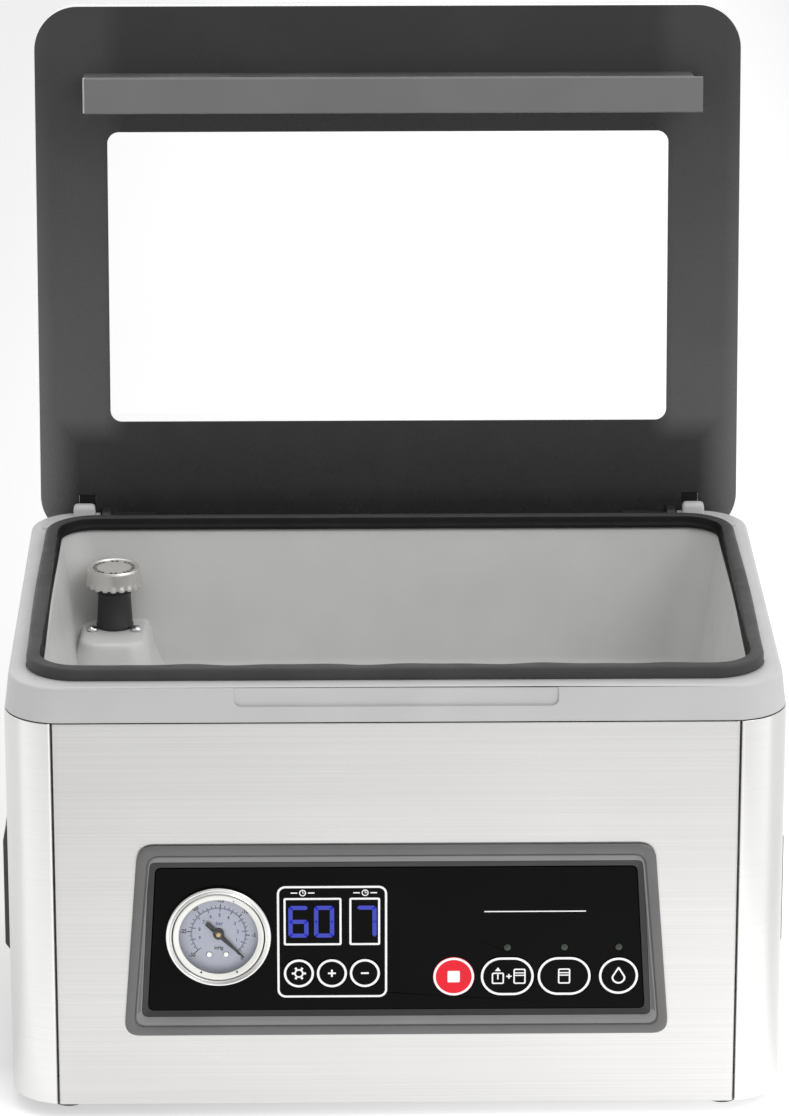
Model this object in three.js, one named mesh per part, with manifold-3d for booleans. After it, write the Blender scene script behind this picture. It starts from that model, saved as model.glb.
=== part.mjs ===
// A tabletop vacuum chamber sealer with its lid open, in millimetres, +Z up, front face towards -Y.
import * as THREE from "three";
import { mergeVertices } from "three/addons/utils/BufferGeometryUtils.js";
import Module from "manifold-3d";

const wasm = await Module();
wasm.setup();

// ---------------------------------------------------------------- driving dimensions
const GAP = 0.3; // left between pieces that touch
const SHEET = 1.2; // steel sheet
const BODY = { halfX: 190, halfY: 140.5, corner: 28, bottom: 8, top: 206.9, seam: 166 };
const RIM = { bottom: 207.4, top: 225, draft: 2.1, ledgeTop: 221.7, ledgeBottom: 218.5, wall: 3 };
const RECESS = { halfX: 78.2, low: 215, corner: 3.5, depth: 1.4 }; // finger hollow in the rim's front
const PAD = { x: 179.5, halfX: 2.6, front: 109, back: 118, height: 0.6 }; // stops on the rim's rear corners
const CHAMBER = { centreY: -7.3, halfX: 171.2, halfY: 115.2, corner: 16, top: 225, floor: 146, wall: 3 };
const GASKET = { halfX: 179.3, halfY: 122.3, corner: 26, width: 8.3, top: 231.2 };
const HINGE = { y: 133.5, z: 222, x: 160.9, lugWidth: 11.4, lugDepth: 7, lugTop: 230.9, pin: 5 };
const HINGE_ROOM = { halfX: 152.5, floor: 212, clear: 2.3 }; // the drop in the rim between its hinge ledges
const BRACKET = {
  earInner: 147, earOuter: 151.5, leafInner: 124, leafFront: -2.5, leafBack: 6.5, sheet: 2.5,
};
const LID = { halfX: 184.7, front: -270.7, back: 11.5, corner: 23, thickness: 20, mask: 1, openDegrees: 97 };
const NOTCH = { halfX: 4.4, shift: 1.3, front: -12, back: 1.5, depth: 3 }; // in the lid at each lug
const UNDERSIDE = GASKET.top + GAP - HINGE.z; // closed lid's underside above the hinge pin
const WINDOW = { halfX: 146.9, front: -204.7, back: -51.2, corner: 6 };
const PRESS = {
  halfX: 158.5, centreY: -226.4, width: 18.6, depth: 26, strip: 3, wall: 2, overLeft: 1, overRight: 4.5,
};
const SEAL = { halfX: 156, width: 14, height: 16, top: 196, pistonX: 105, pistonRadius: 5 };
const CYLINDER = { radius: 7.8, flange: 9, flangeHeight: 3, height: 22 }; // round the seal bar's pistons
const SUCTION = {
  x: -144, y: 89.5, bossTop: 178, capRadius: 14.6, capBottom: 201, capTop: 211, screwX: 11.4, screwY: 7,
};
const PANEL = {
  bottom: 45.4, top: 144.4, halfBottom: 133.2, halfTop: 125.4, proud: 2.6, round: 8, flange: 5,
};
const GLASS = {
  bottom: 58.4, top: 132.5, halfBottom: 121.2, halfTop: 116.6, front: -141, thickness: 2, round: 3,
};
const BEZEL_LIP = 4; // how far the bezel's flange covers the panel round its cut-out
const GAUGE = { x: -86.7, z: 97.3, ring: 25.7, dial: 19.4, case: 23.5, depth: 24 };
const NEEDLE_REST = 135; // degrees clockwise from straight up, seen from the front: the zero mark
const KEY = { z: 75.3, radius: 10.2, travel: 0.5, thickness: 3 };
const SMALL_KEY = { z: 77.4, radius: 7.6, setX: -47.6, plusX: -31.5, minusX: -15.4 };
const DISPLAY = { bottom: 92.6, top: 116.4, split: [-54.4, -27.2, -22.3, -8.4] };
const LED = { radius: 1.7, z: 90.4, xs: [54.2, 82, 108.6] };
const GRIP = { halfY: 48, bottom: 52, top: 132, proud: 6.5, depth: 22 };
const INLET = { x: -120, z: 40, halfX: 14, halfZ: 11 };
const SWITCH = { x: -80, z: 40, halfX: 11, halfZ: 8, tip: 6, pinDepth: 4 };
const VENT = { count: 9, pitch: 8, x: 90, z: 45, length: 50, width: 3 };
const FOOT = { x: 162, y: 117, radius: 9, height: 7.7 };
const CORNER_STEPS = 6;
const ROUND_STEPS = 24;

// ---------------------------------------------------------------- solids
function solid(geometry) {
  const bare = geometry.clone();
  for (const name of Object.keys(bare.attributes)) {
    if (name !== "position") bare.deleteAttribute(name);
  }
  const merged = mergeVertices(bare, 1e-4);
  return new wasm.Manifold(
    new wasm.Mesh({
      numProp: 3,
      vertProperties: new Float32Array(merged.attributes.position.array),
      triVerts: new Uint32Array(merged.index.array),
    }),
  );
}

function geometryOf(shape) {
  const mesh = shape.getMesh();
  const geometry = new THREE.BufferGeometry();
  geometry.setAttribute("position", new THREE.BufferAttribute(mesh.vertProperties, 3));
  geometry.setIndex(new THREE.BufferAttribute(mesh.triVerts, 1));
  const flat = geometry.toNonIndexed();
  flat.computeVertexNormals();
  return flat;
}

function union(...shapes) {
  return shapes.reduce((whole, next) => whole.add(next));
}

function cut(shape, ...tools) {
  return tools.reduce((whole, tool) => whole.subtract(tool), shape);
}

function block(x0, x1, y0, y1, z0, z1) {
  const geometry = new THREE.BoxGeometry(x1 - x0, y1 - y0, z1 - z0);
  geometry.translate((x0 + x1) / 2, (y0 + y1) / 2, (z0 + z1) / 2);
  return solid(geometry);
}

// One level of a lofted solid: a rounded rectangle at height z.
function level(z, halfX, halfY, corner, x = 0, y = 0) {
  const points = [];
  const turns = [[1, 1, 0], [-1, 1, 90], [-1, -1, 180], [1, -1, 270]];
  for (const [signX, signY, start] of turns) {
    for (let step = 0; step <= CORNER_STEPS; step++) {
      const angle = THREE.MathUtils.degToRad(start + (90 * step) / CORNER_STEPS);
      points.push(
        new THREE.Vector3(
          x + signX * (halfX - corner) + corner * Math.cos(angle),
          y + signY * (halfY - corner) + corner * Math.sin(angle),
          z,
        ),
      );
    }
  }
  return points;
}

// A closed solid through levels listed from the lowest to the highest.
function loft(...levels) {
  const count = levels[0].length;
  const outline = levels[0].map((point) => new THREE.Vector2(point.x, point.y));
  const cap = THREE.ShapeUtils.triangulateShape(outline, []);
  const last = (levels.length - 1) * count;
  const index = [];
  for (const [a, b, c] of cap) {
    index.push(a, c, b);
    index.push(last + a, last + b, last + c);
  }
  for (let row = 0; row + 1 < levels.length; row++) {
    for (let i = 0; i < count; i++) {
      const next = (i + 1) % count;
      const low = row * count;
      const high = low + count;
      index.push(low + i, low + next, high + next);
      index.push(low + i, high + next, high + i);
    }
  }
  const geometry = new THREE.BufferGeometry().setFromPoints(levels.flat());
  geometry.setIndex(index);
  return solid(geometry);
}

function slab(z0, z1, halfX, halfY, corner, x = 0, y = 0) {
  return loft(level(z0, halfX, halfY, corner, x, y), level(z1, halfX, halfY, corner, x, y));
}

// An outline in x and z, given thickness from y0 to y1.
function plate(outline, y0, y1) {
  const points = Array.isArray(outline) ? outline.map(([x, z]) => new THREE.Vector2(x, z)) : null;
  const shape = points ? new THREE.Shape(points) : outline;
  const depth = y1 - y0;
  const geometry = new THREE.ExtrudeGeometry(shape, { depth, curveSegments: 4, bevelEnabled: false });
  geometry.rotateX(Math.PI / 2);
  geometry.translate(0, y1, 0);
  return solid(geometry);
}

// A turned solid on the Z axis: profile points are [radius, z] from the bottom up.
function turned(profile, x, y, steps = ROUND_STEPS) {
  const geometry = new THREE.LatheGeometry(
    profile.map(([radius, z]) => new THREE.Vector2(radius, z)),
    steps,
  );
  geometry.rotateX(Math.PI / 2);
  geometry.translate(x, y, 0);
  return solid(geometry);
}

// The same turned solid laid along +Y, its profile heights measured towards the front (-Y).
function turnedForward(profile, x, y, z, steps = ROUND_STEPS) {
  const geometry = new THREE.LatheGeometry(
    profile.map(([radius, height]) => new THREE.Vector2(radius, height)),
    steps,
  );
  geometry.rotateX(Math.PI);
  geometry.translate(x, y, z);
  return solid(geometry);
}

function rod(axis, radius, from, to, a, b, steps = ROUND_STEPS) {
  const geometry = new THREE.CylinderGeometry(radius, radius, to - from, steps);
  const middle = (from + to) / 2;
  if (axis === "x") {
    geometry.rotateZ(-Math.PI / 2);
    geometry.translate(middle, a, b);
  }
  if (axis === "y") geometry.translate(a, middle, b);
  if (axis === "z") {
    geometry.rotateX(Math.PI / 2);
    geometry.translate(a, b, middle);
  }
  return solid(geometry);
}

function hose(points, radius, steps) {
  const curve = new THREE.CatmullRomCurve3(points.map((p) => new THREE.Vector3(...p)));
  const section = new THREE.Shape();
  section.absarc(0, 0, radius, 0, Math.PI * 2);
  const geometry = new THREE.ExtrudeGeometry(section, {
    steps,
    extrudePath: curve,
    curveSegments: 4,
    bevelEnabled: false,
  });
  return solid(geometry);
}

// ---------------------------------------------------------------- materials
const FINISH = {
  brushedSteel: { color: 0xc9c9c6, roughness: 0.35, metalness: 1 },
  polishedSteel: { color: 0xd8d8d6, roughness: 0.15, metalness: 1 },
  blackSheet: { color: 0x1c1c1d, roughness: 0.6, metalness: 0.6 },
  greyPlastic: { color: 0xbfc0c0, roughness: 0.5, metalness: 0 },
  darkPlastic: { color: 0x3a3b3d, roughness: 0.5, metalness: 0 },
  rubber: { color: 0x1d1d1e, roughness: 0.7, metalness: 0 },
  blackGloss: { color: 0x08080a, roughness: 0.08, metalness: 0 },
  redKey: { color: 0xd4202e, roughness: 0.25, metalness: 0 },
  chrome: { color: 0xdcdde0, roughness: 0.08, metalness: 1 },
  aluminium: { color: 0xb9babb, roughness: 0.35, metalness: 1 },
  dialFace: { color: 0xd7dde2, roughness: 0.5, metalness: 0 },
  clear: { color: 0xf2f6f7, roughness: 0.03, metalness: 0, transparent: true, opacity: 0.3 },
  maskGrey: { color: 0x4a4b4d, roughness: 0.4, metalness: 0 },
  silicone: { color: 0x77787a, roughness: 0.55, metalness: 0 },
  circuit: { color: 0x1d4a2e, roughness: 0.5, metalness: 0 },
  copper: { color: 0x9a5a2c, roughness: 0.4, metalness: 1 },
  display: { color: 0x1b2fa8, roughness: 0.3, metalness: 0, emissive: 0x2f46ff },
};

const model = new THREE.Group();
const lid = new THREE.Group();
lid.position.set(0, HINGE.y, HINGE.z);
lid.rotation.x = -THREE.MathUtils.degToRad(LID.openDegrees);
model.add(lid);

function add(name, finish, shape, parent = model) {
  const mesh = new THREE.Mesh(geometryOf(shape), new THREE.MeshStandardMaterial(FINISH[finish]));
  mesh.name = name;
  parent.add(mesh);
}

// ---------------------------------------------------------------- case
function bodySleeve() {
  const { halfX, halfY, corner, bottom, top } = BODY;
  const outer = slab(bottom, top, halfX, halfY, corner);
  const inner = slab(bottom - 1, top + 1, halfX - SHEET, halfY - SHEET, corner - SHEET);
  return outer.subtract(inner);
}

// The control panel's outline: wider at the bottom than at the top, with rounded corners.
function trapezoid({ bottom, top, halfBottom, halfTop }, grow, round) {
  const corners = [
    new THREE.Vector2(-halfBottom - grow, bottom - grow),
    new THREE.Vector2(halfBottom + grow, bottom - grow),
    new THREE.Vector2(halfTop + grow, top + grow),
    new THREE.Vector2(-halfTop - grow, top + grow),
  ];
  const shape = new THREE.Shape();
  corners.forEach((corner, i) => {
    const before = corners[(i + 3) % 4].clone().sub(corner).setLength(round).add(corner);
    const after = corners[(i + 1) % 4].clone().sub(corner).setLength(round).add(corner);
    if (i === 0) shape.moveTo(before.x, before.y);
    else shape.lineTo(before.x, before.y);
    shape.quadraticCurveTo(corner.x, corner.y, after.x, after.y);
  });
  shape.closePath();
  return shape;
}

function addSteelPanels() {
  const { halfX, halfY, bottom, top, seam } = BODY;
  const edge = seam - 0.4;
  const sleeve = bodySleeve();
  const frontSlice = block(-edge, edge, -halfY - 1, -halfY + 10, bottom - 1, top + 1);
  const rearSlice = block(-edge, edge, halfY - 10, halfY + 1, bottom - 1, top + 1);
  const display = plate(trapezoid(PANEL, -BEZEL_LIP, PANEL.round), -halfY - 5, -halfY + 5);
  add("front_panel", "brushedSteel", sleeve.intersect(frontSlice).subtract(display));
  const inlet = block(
    INLET.x - INLET.halfX, INLET.x + INLET.halfX,
    halfY - 5, halfY + 5,
    INLET.z - INLET.halfZ, INLET.z + INLET.halfZ,
  );
  const rocker = block(
    SWITCH.x - SWITCH.halfX, SWITCH.x + SWITCH.halfX,
    halfY - 5, halfY + 5,
    SWITCH.z - SWITCH.halfZ, SWITCH.z + SWITCH.halfZ,
  );
  const vents = [];
  for (let i = 0; i < VENT.count; i++) {
    const x = VENT.x + (i - (VENT.count - 1) / 2) * VENT.pitch;
    vents.push(
      block(x - VENT.width / 2, x + VENT.width / 2, halfY - 5, halfY + 5, VENT.z, VENT.z + VENT.length),
    );
  }
  add("rear_panel", "brushedSteel", cut(sleeve.intersect(rearSlice), inlet, rocker, ...vents));
  for (const [name, side] of [["side_panel_left", -1], ["side_panel_right", 1]]) {
    const slice = block(
      Math.min(side * seam, side * (halfX + 1)), Math.max(side * seam, side * (halfX + 1)),
      -halfY - 1, halfY + 1,
      bottom - 1, top + 1,
    );
    const opening = block(
      Math.min(side * (halfX - 5), side * (halfX + 5)), Math.max(side * (halfX - 5), side * (halfX + 5)),
      -GRIP.halfY + 3, GRIP.halfY - 3,
      GRIP.bottom + 3, GRIP.top - 5,
    );
    add(name, "polishedSteel", sleeve.intersect(slice).subtract(opening));
  }
}

function addBasePlate() {
  const inset = SHEET + GAP;
  const halfX = BODY.halfX - inset;
  const halfY = BODY.halfY - inset;
  const corner = BODY.corner - inset;
  const floor = BODY.bottom;
  const lip = 14;
  const tray = cut(
    slab(floor, floor + lip, halfX, halfY, corner),
    slab(floor + 1.6, floor + lip + 1, halfX - 1.6, halfY - 1.6, corner - 1.6),
  );
  const holes = [];
  for (const x of [-FOOT.x, FOOT.x]) {
    for (const y of [-FOOT.y, FOOT.y]) {
      holes.push(rod("z", 3.3, floor - 1, floor + 3, x, y, 16));
    }
  }
  add("base_plate", "blackSheet", cut(tray, ...holes));
}

function addFeet() {
  const places = {
    foot_front_left: [-1, -1],
    foot_front_right: [1, -1],
    foot_rear_left: [-1, 1],
    foot_rear_right: [1, 1],
  };
  for (const [name, [signX, signY]] of Object.entries(places)) {
    const profile = [
      [0, 0], [FOOT.radius - 1.5, 0], [FOOT.radius, 1.5], [FOOT.radius - 0.8, FOOT.height],
      [3, FOOT.height], [3, FOOT.height + 5], [0, FOOT.height + 5],
    ];
    add(name, "rubber", turned(profile, signX * FOOT.x, signY * FOOT.y, 24));
  }
}

// ---------------------------------------------------------------- rim, chamber and gasket
function addTopRim() {
  const { bottom, top, draft, ledgeTop, ledgeBottom, wall } = RIM;
  const halfX = BODY.halfX - 0.4;
  const halfY = BODY.halfY - 0.4;
  const corner = BODY.corner - 0.4;
  const outer = loft(
    level(bottom, halfX, halfY, corner),
    level(top - 3, halfX - draft * 0.8, halfY - draft * 0.5, corner - draft * 0.5),
    level(top - 0.9, halfX - draft, halfY - draft * 0.6, corner - draft * 0.6),
    level(top, halfX - draft - 1, halfY - draft * 0.6 - 1, corner - draft - 1),
  );
  const y = CHAMBER.centreY;
  const seat = slab(ledgeTop, top + 1, GASKET.halfX + GAP, GASKET.halfY + GAP, GASKET.corner + GAP, 0, y);
  const passage = slab(
    bottom - 1, top,
    CHAMBER.halfX + CHAMBER.wall + 1.2, CHAMBER.halfY + CHAMBER.wall + 1.2, CHAMBER.corner + 4,
    0, y,
  );
  const skirt = slab(bottom - 1, ledgeBottom, halfX - wall, halfY - wall, corner - wall);
  // Behind the gasket the rim drops between the two hinge ledges, which leaves room for the lid's brackets.
  const ledgeEnd = HINGE_ROOM.halfX;
  const roomFront = y + GASKET.halfY + HINGE_ROOM.clear;
  const hingeRoom = block(-ledgeEnd, ledgeEnd, roomFront, BODY.halfY + 1, HINGE_ROOM.floor, top + 1);
  const floorPlate = block(
    -ledgeEnd - 2, ledgeEnd + 2, roomFront - 2, halfY - 1, bottom, HINGE_ROOM.floor,
  );
  const ring = cut(outer, seat, passage, skirt, hingeRoom, fingerRecess());
  const additions = [floorPlate];
  const bores = [];
  for (const side of [-1, 1]) {
    additions.push(...hingeLug(side), rimPad(side));
    const reach = [side * (ledgeEnd - 1), side * (HINGE.x + 7)].sort((a, b) => a - b);
    bores.push(rod("x", HINGE.pin / 2 + GAP, reach[0], reach[1], HINGE.y, HINGE.z, 16));
  }
  add("top_rim", "greyPlastic", cut(union(ring, ...additions), ...bores));
}

// The lug over one hinge pin, and the solid part of the rim under it.
function hingeLug(side) {
  const { x, y, lugTop, lugWidth, lugDepth } = HINGE;
  const centre = side * x;
  const half = lugWidth / 2;
  const halfDepth = lugDepth / 2;
  const boss = [side * HINGE_ROOM.halfX, side * (x + 9)].sort((a, b) => a - b);
  return [
    slab(RIM.top - 2, lugTop - 2, half, halfDepth, 1, centre, y),
    loft(
      level(lugTop - 2, half, halfDepth, 1, centre, y),
      level(lugTop - 0.6, half - 0.3, halfDepth - 0.7, 1, centre, y),
      level(lugTop, half - 1, halfDepth - 2, 1, centre, y),
    ),
    block(boss[0], boss[1], y - 6, y + 5, HINGE_ROOM.floor, RIM.top - 1),
  ];
}

function rimPad(side) {
  const { x, halfX, front, back, height } = PAD;
  return block(side * x - halfX, side * x + halfX, front, back, RIM.top - 1, RIM.top + height);
}

// The shallow hollow for the fingers in the middle of the rim's front, open at its top edge.
function fingerRecess() {
  const { halfX, low, corner, depth } = RECESS;
  const shape = new THREE.Shape();
  shape.moveTo(-halfX, RIM.top + 1);
  shape.lineTo(-halfX, low + corner);
  shape.absarc(-halfX + corner, low + corner, corner, Math.PI, Math.PI * 1.5);
  shape.absarc(halfX - corner, low + corner, corner, Math.PI * 1.5, Math.PI * 2);
  shape.lineTo(halfX, RIM.top + 1);
  const geometry = new THREE.ExtrudeGeometry(shape, { depth: 10, curveSegments: 4, bevelEnabled: false });
  geometry.rotateX(Math.PI / 2);
  geometry.translate(0, -BODY.halfY + 0.9 + depth, 0);
  return solid(geometry);
}

function chamberLevels(grow, drop) {
  const { centreY, halfX, halfY, corner, top, floor } = CHAMBER;
  const taper = 10;
  const steps = [
    [floor, taper + 10, 24], [floor + 2.6, taper + 3.5, 22],
    [floor + 10, taper, 20], [top - 2.5, 0.2, corner],
  ];
  return steps.map(([z, inset, round]) =>
    level(z - drop, halfX - inset + grow, halfY - inset + grow, round + grow, 0, centreY),
  );
}

function addChamberTub() {
  const { centreY, halfX, halfY, corner, top, floor, wall } = CHAMBER;
  const lip = level(top + 1, halfX + 1.2, halfY + 1.2, corner + 1.2, 0, centreY);
  const inner = loft(...chamberLevels(0, 0), lip);
  const outer = loft(
    ...chamberLevels(wall, wall),
    level(top - wall, halfX + wall, halfY + wall, corner + wall, 0, centreY),
  );
  const flange = slab(top - wall, top, GASKET.halfX, GASKET.halfY, GASKET.corner, 0, centreY);
  const full = union(outer, flange);
  const tub = union(full.subtract(inner), suctionBoss().intersect(full));
  const { x, y, bossTop, screwX, screwY } = SUCTION;
  const spigot = rod("z", 4.3, floor - 8, bossTop + 1, x, y, 16);
  const screws = [-1, 1].map((side) =>
    rod("z", 1.8, bossTop - 9, bossTop + 1, x + side * screwX, y - screwY, 12),
  );
  add("chamber_tub", "greyPlastic", cut(tub, spigot, ...screws));
}

// The raised part of the tub's floor in its rear left corner, which carries the suction stem.
function suctionBoss() {
  const { x, y, bossTop } = SUCTION;
  const halfY = 26;
  return loft(
    level(CHAMBER.floor - 1, 23, halfY + 4, 14, x + 5.5, y - 8),
    level(bossTop - 3, 18, halfY, 12, x, y - 4),
    level(bossTop - 0.8, 16.8, halfY - 1.2, 11, x, y - 4),
    level(bossTop, 14.8, halfY - 3.2, 9, x, y - 4),
  );
}

function addGasket() {
  const { halfX, halfY, corner, width, top } = GASKET;
  const y = CHAMBER.centreY;
  const base = CHAMBER.top + GAP;
  const outer = loft(
    level(base, halfX, halfY, corner, 0, y),
    level(top - 1.1, halfX, halfY, corner, 0, y),
    level(top, halfX - 1.1, halfY - 1.1, corner - 1.1, 0, y),
  );
  const inner = loft(
    level(base - 1, halfX - width, halfY - width, corner - width + 1.5, 0, y),
    level(base + 3.2, halfX - width, halfY - width, corner - width + 1.5, 0, y),
    level(top - 0.5, halfX - width + 1.6, halfY - width + 1.6, corner - width + 3, 0, y),
    level(top + 1, halfX - width + 3, halfY - width + 3, corner - width + 4, 0, y),
  );
  add("chamber_gasket", "rubber", outer.subtract(inner));
}

// ---------------------------------------------------------------- suction port
function addSuctionPort() {
  const { x, y, bossTop, capRadius, capBottom, capTop, screwX, screwY } = SUCTION;
  const seat = bossTop + GAP;
  const underFloor = CHAMBER.floor - 14;
  const stem = [
    [0, underFloor], [4, underFloor], [4, seat], [9.7, seat], [9.7, seat + 2], [8.3, capBottom - 2.5],
    [8.3, capBottom + 3], [6, capBottom + 4], [0, capBottom + 4],
  ];
  add("suction_stem", "rubber", turned(stem, x, y, 24));
  const cap = [
    [0, capBottom + 4.3], [6.2, capBottom + 4.3], [8.6, capBottom + 3.2], [8.6, capBottom + 0.6],
    [capRadius - 1.4, capBottom], [capRadius, capBottom], [capRadius - 0.2, capTop - 1.2],
    [capRadius - 1.2, capTop - 0.1], [capRadius - 3, capTop], [0, capTop],
  ];
  add("suction_cap", "aluminium", turned(cap, x, y));
  for (const [name, side] of [["suction_screw_left", -1], ["suction_screw_right", 1]]) {
    const head = [
      [0, bossTop - 8], [1.5, bossTop - 8], [1.5, seat], [3.2, seat], [3.2, seat + 0.9], [2.2, seat + 2],
      [0, seat + 2.3],
    ];
    add(name, "chrome", turned(head, x + side * screwX, y - screwY, 16));
  }
}

// ---------------------------------------------------------------- seal bar
function addSealBar() {
  const { halfX, width, height, top, pistonX, pistonRadius } = SEAL;
  const y = sealY();
  const bottom = top - height;
  const bar = cut(
    slab(bottom, top, halfX, width / 2, 2, 0, y),
    block(-halfX - 1, halfX + 1, y - 1.8, y + 1.8, top - 0.5, top + 1),
  );
  add("seal_bar", "aluminium", bar);
  add("heating_wire", "chrome", block(-halfX + 2, halfX - 2, y - 1.4, y + 1.4, top - 0.2, top + 0.4));
  for (const [name, side] of [["left", -1], ["right", 1]]) {
    const x = side * pistonX;
    const floor = CHAMBER.floor + GAP;
    add("lift_piston_" + name, "chrome", rod("z", pistonRadius, floor + 8, bottom - GAP, x, y, 20));
    const { radius, flange, flangeHeight, height: tall } = CYLINDER;
    const profile = [
      [0, floor], [flange, floor], [flange, floor + flangeHeight], [radius, floor + flangeHeight],
      [radius, floor + tall], [0, floor + tall],
    ];
    const bore = rod("z", pistonRadius + GAP, floor + 6, floor + tall + 8, x, y, 20);
    add("lift_cylinder_" + name, "aluminium", cut(turned(profile, x, y, 24), bore));
  }
}

// The bar lies straight under the closed lid's press strip.
function sealY() {
  return HINGE.y + PRESS.centreY;
}

// ---------------------------------------------------------------- lid, built closed about the hinge pin
function addLid() {
  const { halfX, front, back, corner, thickness, mask } = LID;
  const y = (front + back) / 2;
  const halfY = (back - front) / 2;
  const top = UNDERSIDE + thickness;
  const maskTop = UNDERSIDE + mask;
  const notches = [-1, 1].map((side) => {
    const centre = side * (HINGE.x - NOTCH.shift);
    return block(
      centre - NOTCH.halfX, centre + NOTCH.halfX, NOTCH.front, NOTCH.back,
      UNDERSIDE - 1, UNDERSIDE + NOTCH.depth,
    );
  });
  const slabOfLid = loft(
    level(maskTop + GAP, halfX, halfY, corner, 0, y),
    level(top - 1.2, halfX, halfY, corner, 0, y),
    level(top, halfX - 1.2, halfY - 1.2, corner - 1.2, 0, y),
  );
  add("lid_plate", "clear", cut(slabOfLid, ...notches), lid);
  const windowY = (WINDOW.front + WINDOW.back) / 2;
  const windowHalfY = (WINDOW.back - WINDOW.front) / 2;
  const border = cut(
    slab(UNDERSIDE, maskTop, halfX - 0.3, halfY - 0.3, corner - 0.3, 0, y),
    slab(UNDERSIDE - 1, maskTop + 1, WINDOW.halfX, windowHalfY, WINDOW.corner, 0, windowY),
    ...notches,
  );
  add("lid_mask", "maskGrey", border, lid);
}

function addPressStrip() {
  const { halfX, centreY, width, depth, strip, wall, overLeft, overRight } = PRESS;
  const low = UNDERSIDE - depth;
  const high = UNDERSIDE - GAP;
  const half = width / 2;
  const holder = cut(
    block(-halfX, halfX, centreY - half, centreY + half, low + strip + GAP, high),
    block(
      -halfX - 1, halfX + 1, centreY - half + wall, centreY + half - wall,
      low + strip + 2 * wall, high - wall,
    ),
  );
  add("press_holder", "aluminium", holder, lid);
  const pad = block(-halfX + overLeft, halfX + overRight, centreY - half, centreY + half, low, low + strip);
  add("press_strip", "silicone", pad, lid);
}

function addHinges() {
  const { earInner, earOuter, leafInner, leafFront, leafBack, sheet } = BRACKET;
  for (const [name, side] of [["left", -1], ["right", 1]]) {
    const across = [side * earInner, side * earOuter].sort((a, b) => a - b);
    const leafAcross = [side * leafInner, side * earOuter].sort((a, b) => a - b);
    const high = UNDERSIDE - GAP;
    const leaf = block(leafAcross[0], leafAcross[1], leafFront, leafBack, high - sheet, high);
    const ear = union(
      rod("x", 5.4, across[0], across[1], 0, 0, 24),
      block(across[0], across[1], -5.4, 5.4, 0, high - 0.5),
    );
    const bore = rod("x", HINGE.pin / 2 + GAP, across[0] - 1, across[1] + 1, 0, 0, 16);
    add("hinge_bracket_" + name, "blackSheet", cut(union(leaf, ear), bore), lid);
    const pin = [side * (earInner - 3.5), side * (HINGE.x + 6.5)].sort((a, b) => a - b);
    add("hinge_pin_" + name, "chrome", rod("x", HINGE.pin / 2, pin[0], pin[1], HINGE.y, HINGE.z, 16));
  }
}

// ---------------------------------------------------------------- control panel
function addBezel() {
  const face = -BODY.halfY;
  const front = face - PANEL.proud;
  const { round } = PANEL;
  const flange = plate(trapezoid(PANEL, 0, round), front, face - GAP);
  const collar = plate(trapezoid(PANEL, -BEZEL_LIP - GAP, round), face - GAP - 0.5, face + 12);
  const step = plate(trapezoid(PANEL, -PANEL.flange, round - 2), front - 1, front + 1.2);
  const window = plate(trapezoid(GLASS, GAP, GLASS.round), front - 1, face + 2);
  const inside = plate(trapezoid(GLASS, -1, GLASS.round), front - 1, face + 13);
  add("control_bezel", "darkPlastic", cut(union(flange, collar), step, window, inside));
}

function roundKey(x, z, radius, y0, y1) {
  return rod("y", radius, y0, y1, x, z, 24);
}

// A key with two half-round ends, as wide as x0 to x1.
function longKey(x0, x1, z, radius, y0, y1) {
  const shape = new THREE.Shape();
  shape.absarc(x0 + radius, z, radius, Math.PI / 2, Math.PI * 1.5);
  shape.absarc(x1 - radius, z, radius, -Math.PI / 2, Math.PI / 2);
  const depth = y1 - y0;
  const geometry = new THREE.ExtrudeGeometry(shape, { depth, curveSegments: 6, bevelEnabled: false });
  geometry.rotateX(Math.PI / 2);
  geometry.translate(0, y1, 0);
  return solid(geometry);
}

function smallKey(x) {
  return (grow, y0, y1) => roundKey(x, SMALL_KEY.z, SMALL_KEY.radius + grow, y0, y1);
}

// Each key's shape, grown all round by a margin, between two depths.
const KEYS = {
  key_set: smallKey(SMALL_KEY.setX),
  key_plus: smallKey(SMALL_KEY.plusX),
  key_minus: smallKey(SMALL_KEY.minusX),
  key_cancel: (r, y0, y1) => roundKey(28, KEY.z, KEY.radius + r, y0, y1),
  key_vacuum_seal: (r, y0, y1) => longKey(41 - r, 67.4 + r, KEY.z, KEY.radius + r, y0, y1),
  key_seal: (r, y0, y1) => longKey(68.8 - r, 95.2 + r, KEY.z, KEY.radius + r, y0, y1),
  key_marinate: (r, y0, y1) => roundKey(108.6, KEY.z, KEY.radius - 0.4 + r, y0, y1),
};

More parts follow.
